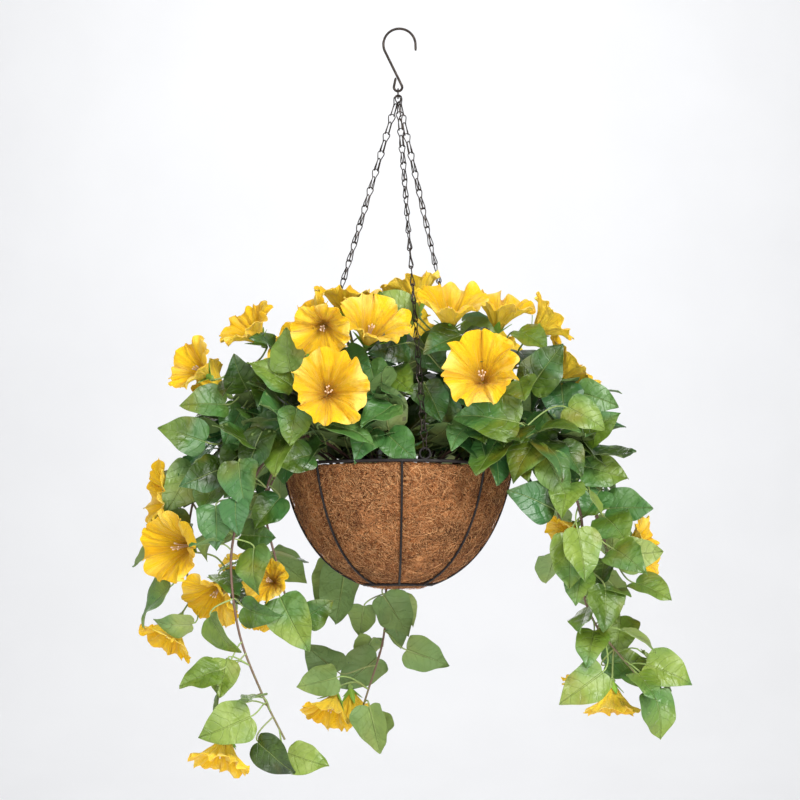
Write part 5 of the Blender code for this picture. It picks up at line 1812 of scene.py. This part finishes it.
@dataclass(frozen=True)
class Thicket:
    """One kind of small leaf that fills the plant, each range given from low to high.

    Attributes:
        name: the piece's name.
        number: how many leaves.
        height: of the points of the stems that they grow from.
        off: how far those lie off the basket's axis.
        fall: how steeply a leaf points down, in radians.
        length: of a blade.
        apart: how far the leaves' middles keep from each other.
        shade: their mean tone, low deep in the crown as painted shade.
    """

    name: str
    number: int
    height: tuple
    off: tuple
    fall: tuple
    length: tuple
    apart: float
    shade: float


# The heart, core and crown leaves are kept dark as painted shade, the trailing leaves light as painted light.
THICKETS: tuple[Thicket, ...] = (
    Thicket("heart_leaves", 120, (-0.488, -0.43), (0.0, 0.115), (-1.3, 0.1), (0.044, 0.064), 0.010, 0.03),
    Thicket("core_leaves", 60, (-0.44, -0.34), (0.0, 0.085), (-1.1, 0.7), (0.042, 0.060), 0.012, 0.08),
    Thicket("crown_leaves", 165, (-0.484, -0.325), (0.0, 0.5), (-0.5, 1.1), (0.040, 0.058), 0.018, 0.18),
    Thicket("trailing_leaves", 44, (-0.76, -0.44), (0.135, 0.5), (-0.1, 1.3), (0.030, 0.044), 0.022, 0.55),
)


@dataclass
class Plant:
    """Every leafy stem and bloom, and the smaller leaves that fill the crown and thicken the trailing stems.

    Attributes:
        leaf: finish of the leaves and stems.
        petal: finish of the blooms.
        chains: start and end of each chain.
        stem_wire: radius of a stem at its foot.
        stem_taper: its radius at the tip, as a share of that.
        tries: places drawn for each thicket, of which the clear ones are kept.
        margin: how far small leaves stay inside the frame's box.
        chain_room: how far they stay from a chain.
        chain_view: how far to either side of a chain they stay on its outer side, to leave it in sight.
        bowl_top: height below which they stay out of the bowl's room.
        bowl_room: radius of that room.
        maker: makes the stems' leaves.
        small: makes the small leaves, with fewer points.
        petunia: makes the blooms.
        poses: every leaf made so far.
        paths: the middle line of every stem made so far.
    """

    leaf: LeafFinish
    petal: PetalFinish
    chains: list
    stem_wire: float = 0.0019
    stem_taper: float = 0.58
    tries: int = 9000
    margin: float = 0.004
    chain_room: float = 0.011
    chain_view: float = 0.018
    bowl_top: float = -0.478
    bowl_room: float = 0.136
    maker: LeafMaker = field(default_factory=LeafMaker)
    small: LeafMaker = field(default_factory=lambda: LeafMaker(rows=9, cols=7, stalk_steps=6))
    petunia: Petunia = field(default_factory=Petunia)
    poses: list = field(default_factory=list)
    paths: list = field(default_factory=list)

    def shade(self, pose: LeafPose, draw: Draw) -> float:
        """A leaf's tone: deep in the crown as painted shade, and lighter further out and lower down as painted
        light.
        """
        reach = math.hypot(pose.base[0], pose.base[1] + 0.02)
        # Painted shade near the crown's middle, painted light further out and lower down; the draw is random
        # tone.
        light = 0.30 + 2.2 * max(0.0, reach - 0.12) + 0.35 * max(0.0, -0.50 - pose.base[2])
        return float(np.clip(light + draw.normal(0, 0.18), 0.02, 0.95))

    def build(self, nodes: dict) -> None:
        """Makes the stems with their leaves and calyces, then the blooms, then the small leaves."""
        finishes = [self.leaf.bark(), self.leaf.blade(), self.leaf.sepal()]
        petal, stamen = self.petal.petal(), self.petal.stamen()
        blooms = [read_bloom(nodes[f"bloom_{number:02d}"]) for number in range(1, len(BLOOMS) + 1)]
        for stem_number, (name, stem) in enumerate(STEMS.items()):
            draw = np.random.default_rng([17, stem_number])
            route = np.array(stem.route, float) * MM
            path = through(route, 8)
            self.paths.append(path)
            share = np.linspace(0, 1, len(path))
            radius = self.stem_wire * (1 - (1 - self.stem_taper) * share)
            skins = [tubes(path, radius, 10, tone=share**2 * 0.55)]
            poses = LeafFinder(stem_number, name, nodes[name]).found()
            self.poses += poses
            tones = np.array([self.shade(pose, draw) for pose in poses])
            skins.append(self.maker.build(poses, tones, draw))
            for (owner, joint), bloom in zip(BLOOMS, blooms):
                if owner == name:
                    skins += [self.petunia.stalk(route[joint], bloom), self.petunia.calyx(bloom, draw)]
            mount(make_piece(f"{name}_leafy", joined(skins), finishes), Body.BASKET, Slot.LEAF, name)
            LOG.info("%s has %d leaves", name, len(poses))
        for number, pose in enumerate(blooms, start=1):
            self.petunia.build(f"bloom_{number:02d}", pose, number, petal, stamen)
        self.fill_in(finishes, blooms)

    def fill_in(self, finishes: list, blooms: Sequence[BloomPose]) -> None:
        """Makes the small leaves, with painted shade dark in the crown and painted light on the trailing stems.
        """
        draw = np.random.default_rng(31)
        marks = np.concatenate(self.paths)
        off = np.hypot(marks[:, 0], marks[:, 1])
        for thicket in THICKETS:
            (low, high), (nearest, furthest) = thicket.height, thicket.off
            level = (marks[:, 2] > low) & (marks[:, 2] < high)
            roots = marks[level & (off >= nearest) & (off < furthest)]
            poses = self.clear_places(roots, thicket, blooms, draw)
            self.poses += poses
            tones = np.clip(draw.normal(thicket.shade, 0.15, len(poses)), 0.0, 1.0)
            piece = make_piece(thicket.name, self.small.build(poses, tones, draw), finishes[:2])
            mount(piece, Body.BASKET, Slot.LEAF)
            LOG.info("%s: %d leaves", thicket.name, len(poses))

    def clear_places(
        self, roots: np.ndarray, thicket: Thicket, blooms: Sequence[BloomPose], draw: Draw
    ) -> list[LeafPose]:
        """Places for small leaves that stay off the blooms, the chains, the rim and each other.

        A leaf grows from a drawn root, outwards from the middle of the basket with a drawn turn and droop.
        Eleven points of its blade and the middle of its stalk have to be clear.

        Args:
            roots: (n, 3) points of the stems to grow from.
            thicket: what kind of leaf.
            blooms: the blooms to stay clear of.
            draw: source of the draws.

        Returns:
            The places kept.
        """
        low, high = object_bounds()
        root = roots[draw.integers(0, len(roots), self.tries)]
        heading = np.arctan2(root[:, 1] - 0.01, root[:, 0]) + draw.normal(0, 0.9, self.tries)
        fall = draw.uniform(*thicket.fall, self.tries)
        out = np.stack([np.cos(heading), np.sin(heading), np.zeros(self.tries)], -1)
        along = out * np.cos(fall)[:, None] - UP * np.sin(fall)[:, None]
        facing = out * np.sin(fall)[:, None] + UP * np.cos(fall)[:, None]
        facing = facing + draw.normal(0, 0.35, (self.tries, 3)) + 0.3 * out
        facing[:, 1] += np.where(root[:, 1] < 0.03, -0.35, 0.35)
        side = unit(np.cross(along, facing))
        up = np.cross(side, along)
        reach = draw.uniform(0.012, 0.034, self.tries)[:, None]
        base = root + unit(out + UP * 0.4 + along * 0.4 + draw.normal(0, 0.3, (self.tries, 3))) * reach
        length = draw.uniform(*thicket.length, self.tries)
        across = np.array((0, 0, -0.44, 0.44, 0, -0.36, 0.36, 0, 0, -0.2, 0.2))
        along_it = np.array((0, 1.0, 0.25, 0.25, 0.5, 0.55, 0.55, 0.25, 0.75, 0.8, 0.8))
        kept: list[LeafPose] = []
        middles = [pose.base + pose.along * (0.45 * pose.length) for pose in self.poses]
        for i in range(self.tries):
            pose = LeafPose(root[i], base[i], along[i], up[i], float(length[i]))
            points = pose.at(across, along_it, 0.2 * np.abs(across) - 0.2 * along_it**2)
            points = np.concatenate([points, (root[i] + base[i])[None] / 2])
            if not self.is_clear(points, blooms, middles, thicket.apart, low, high):
                continue
            kept.append(pose)
            middles.append(points[4])
            if len(kept) == thicket.number:
                break
        return kept

    def is_clear(
        self,
        points: np.ndarray,
        blooms: Sequence[BloomPose],
        middles: list,
        apart: float,
        low: Sequence[float],
        high: Sequence[float],
    ) -> bool:
        """Whether a leaf keeps off the blooms, the chains, the bowl, other leaves and the box's sides.

        Args:
            points: the leaf's points, of which number 4 is the middle of its blade.
            blooms: the blooms.
            middles: the middles of the other leaves' blades.
            apart: how far to stay from those.
            low: the box's lowest corner.
            high: its highest corner.

        Returns:
            Whether it does, and hides no chain either, being on the outer side of one.
        """
        if (points < np.array(low) + self.margin).any() or (points > np.array(high) - self.margin).any():
            return False
        if any(self.petunia.holds(bloom, points) for bloom in blooms):
            return False
        if np.linalg.norm(np.array(middles) - points[4], axis=-1).min() < apart:
            return False
        for start, end in self.chains:
            share = np.clip((points - start) @ (end - start) / ((end - start) @ (end - start)), 0, 1)
            off = points - start - share[:, None] * (end - start)
            outward = unit(end * (1, 1, 0))
            beside = np.linalg.norm(off - (off @ outward)[:, None] * outward, axis=-1)
            touches = np.linalg.norm(off, axis=-1) < self.chain_room
            hides = (off @ outward > 0) & (beside < self.chain_view)
            if (touches | hides).any():
                return False
        bowl = (points[:, 2] < self.bowl_top) & (np.hypot(points[:, 0], points[:, 1]) < self.bowl_room)
        return not bowl.any()


# ---------------------------------------------------------------- studio


@dataclass(frozen=True)
class Studio:
    """A pale sweep of floor and wall, soft light and the camera."""

    camera_place: tuple = (0.0022, -2.27, -0.6314)
    lens: float = 93.3
    rise: float = 0.08
    tilt: float = 3.72
    floor_z: float = -1.30
    wall_y: float = 5.6

    def sweep(self) -> None:
        """The floor runs back, curves up through a quarter circle and stands as a wall."""
        bend = 1.6
        corner = arc(bend, -90, 0, 24) + (self.wall_y - bend, self.floor_z + bend)
        line = np.concatenate([[[-7.0, self.floor_z]], corner, [[self.wall_y, 5.0]]])
        across = np.array((-7.0, 7.0))
        points = np.stack([
            np.broadcast_to(across, (len(line), 2)), np.broadcast_to(line[:, :1], (len(line), 2)),
            np.broadcast_to(line[:, 1:], (len(line), 2)),
        ], -1)
        mesh = bpy.data.meshes.new("studio_floor")
        mesh.from_pydata(points.reshape(-1, 3).tolist(), [], grid_quads(len(line), 2).tolist())
        mesh.shade_smooth()
        made = Paint("studio_paper", 0.9, specular=0.1)
        grain = made.noise(made.place(), 3.0, 2.0)
        made.colour(made.ramp(grain, ((0.3, (0.86, 0.865, 0.88)), (0.7, (0.88, 0.885, 0.90)))))
        mesh.materials.append(made.material)
        floor = bpy.data.objects.new("studio_floor", mesh)
        bpy.context.scene.collection.objects.link(floor)
        floor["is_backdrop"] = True

    def lamp(self, name: str, place: tuple, aim: tuple, size: float, power: float) -> None:
        """A square soft light that looks at a point."""
        light = bpy.data.lights.new(name, "AREA")
        light.size = size
        light.energy = power
        lamp = bpy.data.objects.new(name, light)
        lamp.location = place
        away = np.array(place) - np.array(aim)
        tilt = math.atan2(math.hypot(away[0], away[1]), away[2])
        lamp.rotation_euler = (tilt, 0.0, math.atan2(away[0], -away[1]))
        lamp.visible_camera = False
        bpy.context.scene.collection.objects.link(lamp)

    def build(self) -> None:
        """Sets up the floor, the lights, the surroundings and the camera."""
        self.sweep()
        self.lamp("key_light", (1.1, -2.1, 0.8), (0, 0, -0.45), 0.9, 72.0)
        self.lamp("fill_light", (-1.9, -1.6, 0.1), (0, 0, -0.55), 1.2, 19.0)
        self.lamp("top_light", (-0.3, -0.9, 1.2), (0, 0, -0.45), 1.1, 10.0)
        self.lamp("low_light", (0.3, -2.0, -0.95), (0, 0, -0.50), 1.0, 22.0)
        self.lamp("back_light", (-0.6, 1.9, 0.8), (0, 0, -0.45), 1.0, 30.0)
        self.lamp("paper_light", (0.0, 3.0, 1.8), (0, 5.4, -0.7), 3.0, 56.0)
        scene = bpy.context.scene
        world = bpy.data.worlds.new("studio_air")
        world.use_nodes = True
        background = world.node_tree.nodes["Background"]
        background.inputs["Color"].default_value = (1.0, 1.0, 1.0, 1.0)
        background.inputs["Strength"].default_value = 0.41
        scene.world = world
        scene.view_settings.view_transform = "Standard"
        camera = bpy.data.cameras.new("studio_camera")
        camera.lens = self.lens
        camera.sensor_width = 36.0
        camera.shift_y = self.rise
        holder = bpy.data.objects.new("studio_camera", camera)
        holder.location = self.camera_place
        holder.rotation_euler = (math.radians(90.0 + self.tilt), 0.0, 0.0)
        scene.collection.objects.link(holder)
        scene.camera = holder


def main() -> None:
    """Loads the frame, dresses it and lights it."""
    logging.basicConfig(level=logging.INFO, format="%(message)s")
    for obj in list(bpy.data.objects):
        bpy.data.objects.remove(obj, do_unlink=True)
    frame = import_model()
    bronze = WireFinish("bronzed_wire", (0.020, 0.016, 0.014), (0.060, 0.047, 0.040), 0.36, 0.75).paint()
    black = WireFinish("coated_wire", (0.004, 0.003, 0.003), (0.016, 0.012, 0.012), 0.46, 0.0).paint()
    gear, bowl = HangingGear(), WireBowl()
    gear.build(bronze)
    chains = [Chain(side) for side in Side]
    for chain in chains:
        chain.build(gear, bowl, bronze)
    bowl.build(black)
    CoirLiner(bowl).build(CoirFinish())
    MossFill(bowl).build(FillFinish().paint())
    Plant(LeafFinish(), PetalFinish(), [chain.ends(gear, bowl) for chain in chains]).build(frame["nodes"])
    Studio().build()


if __name__ == "__main__":
    main()
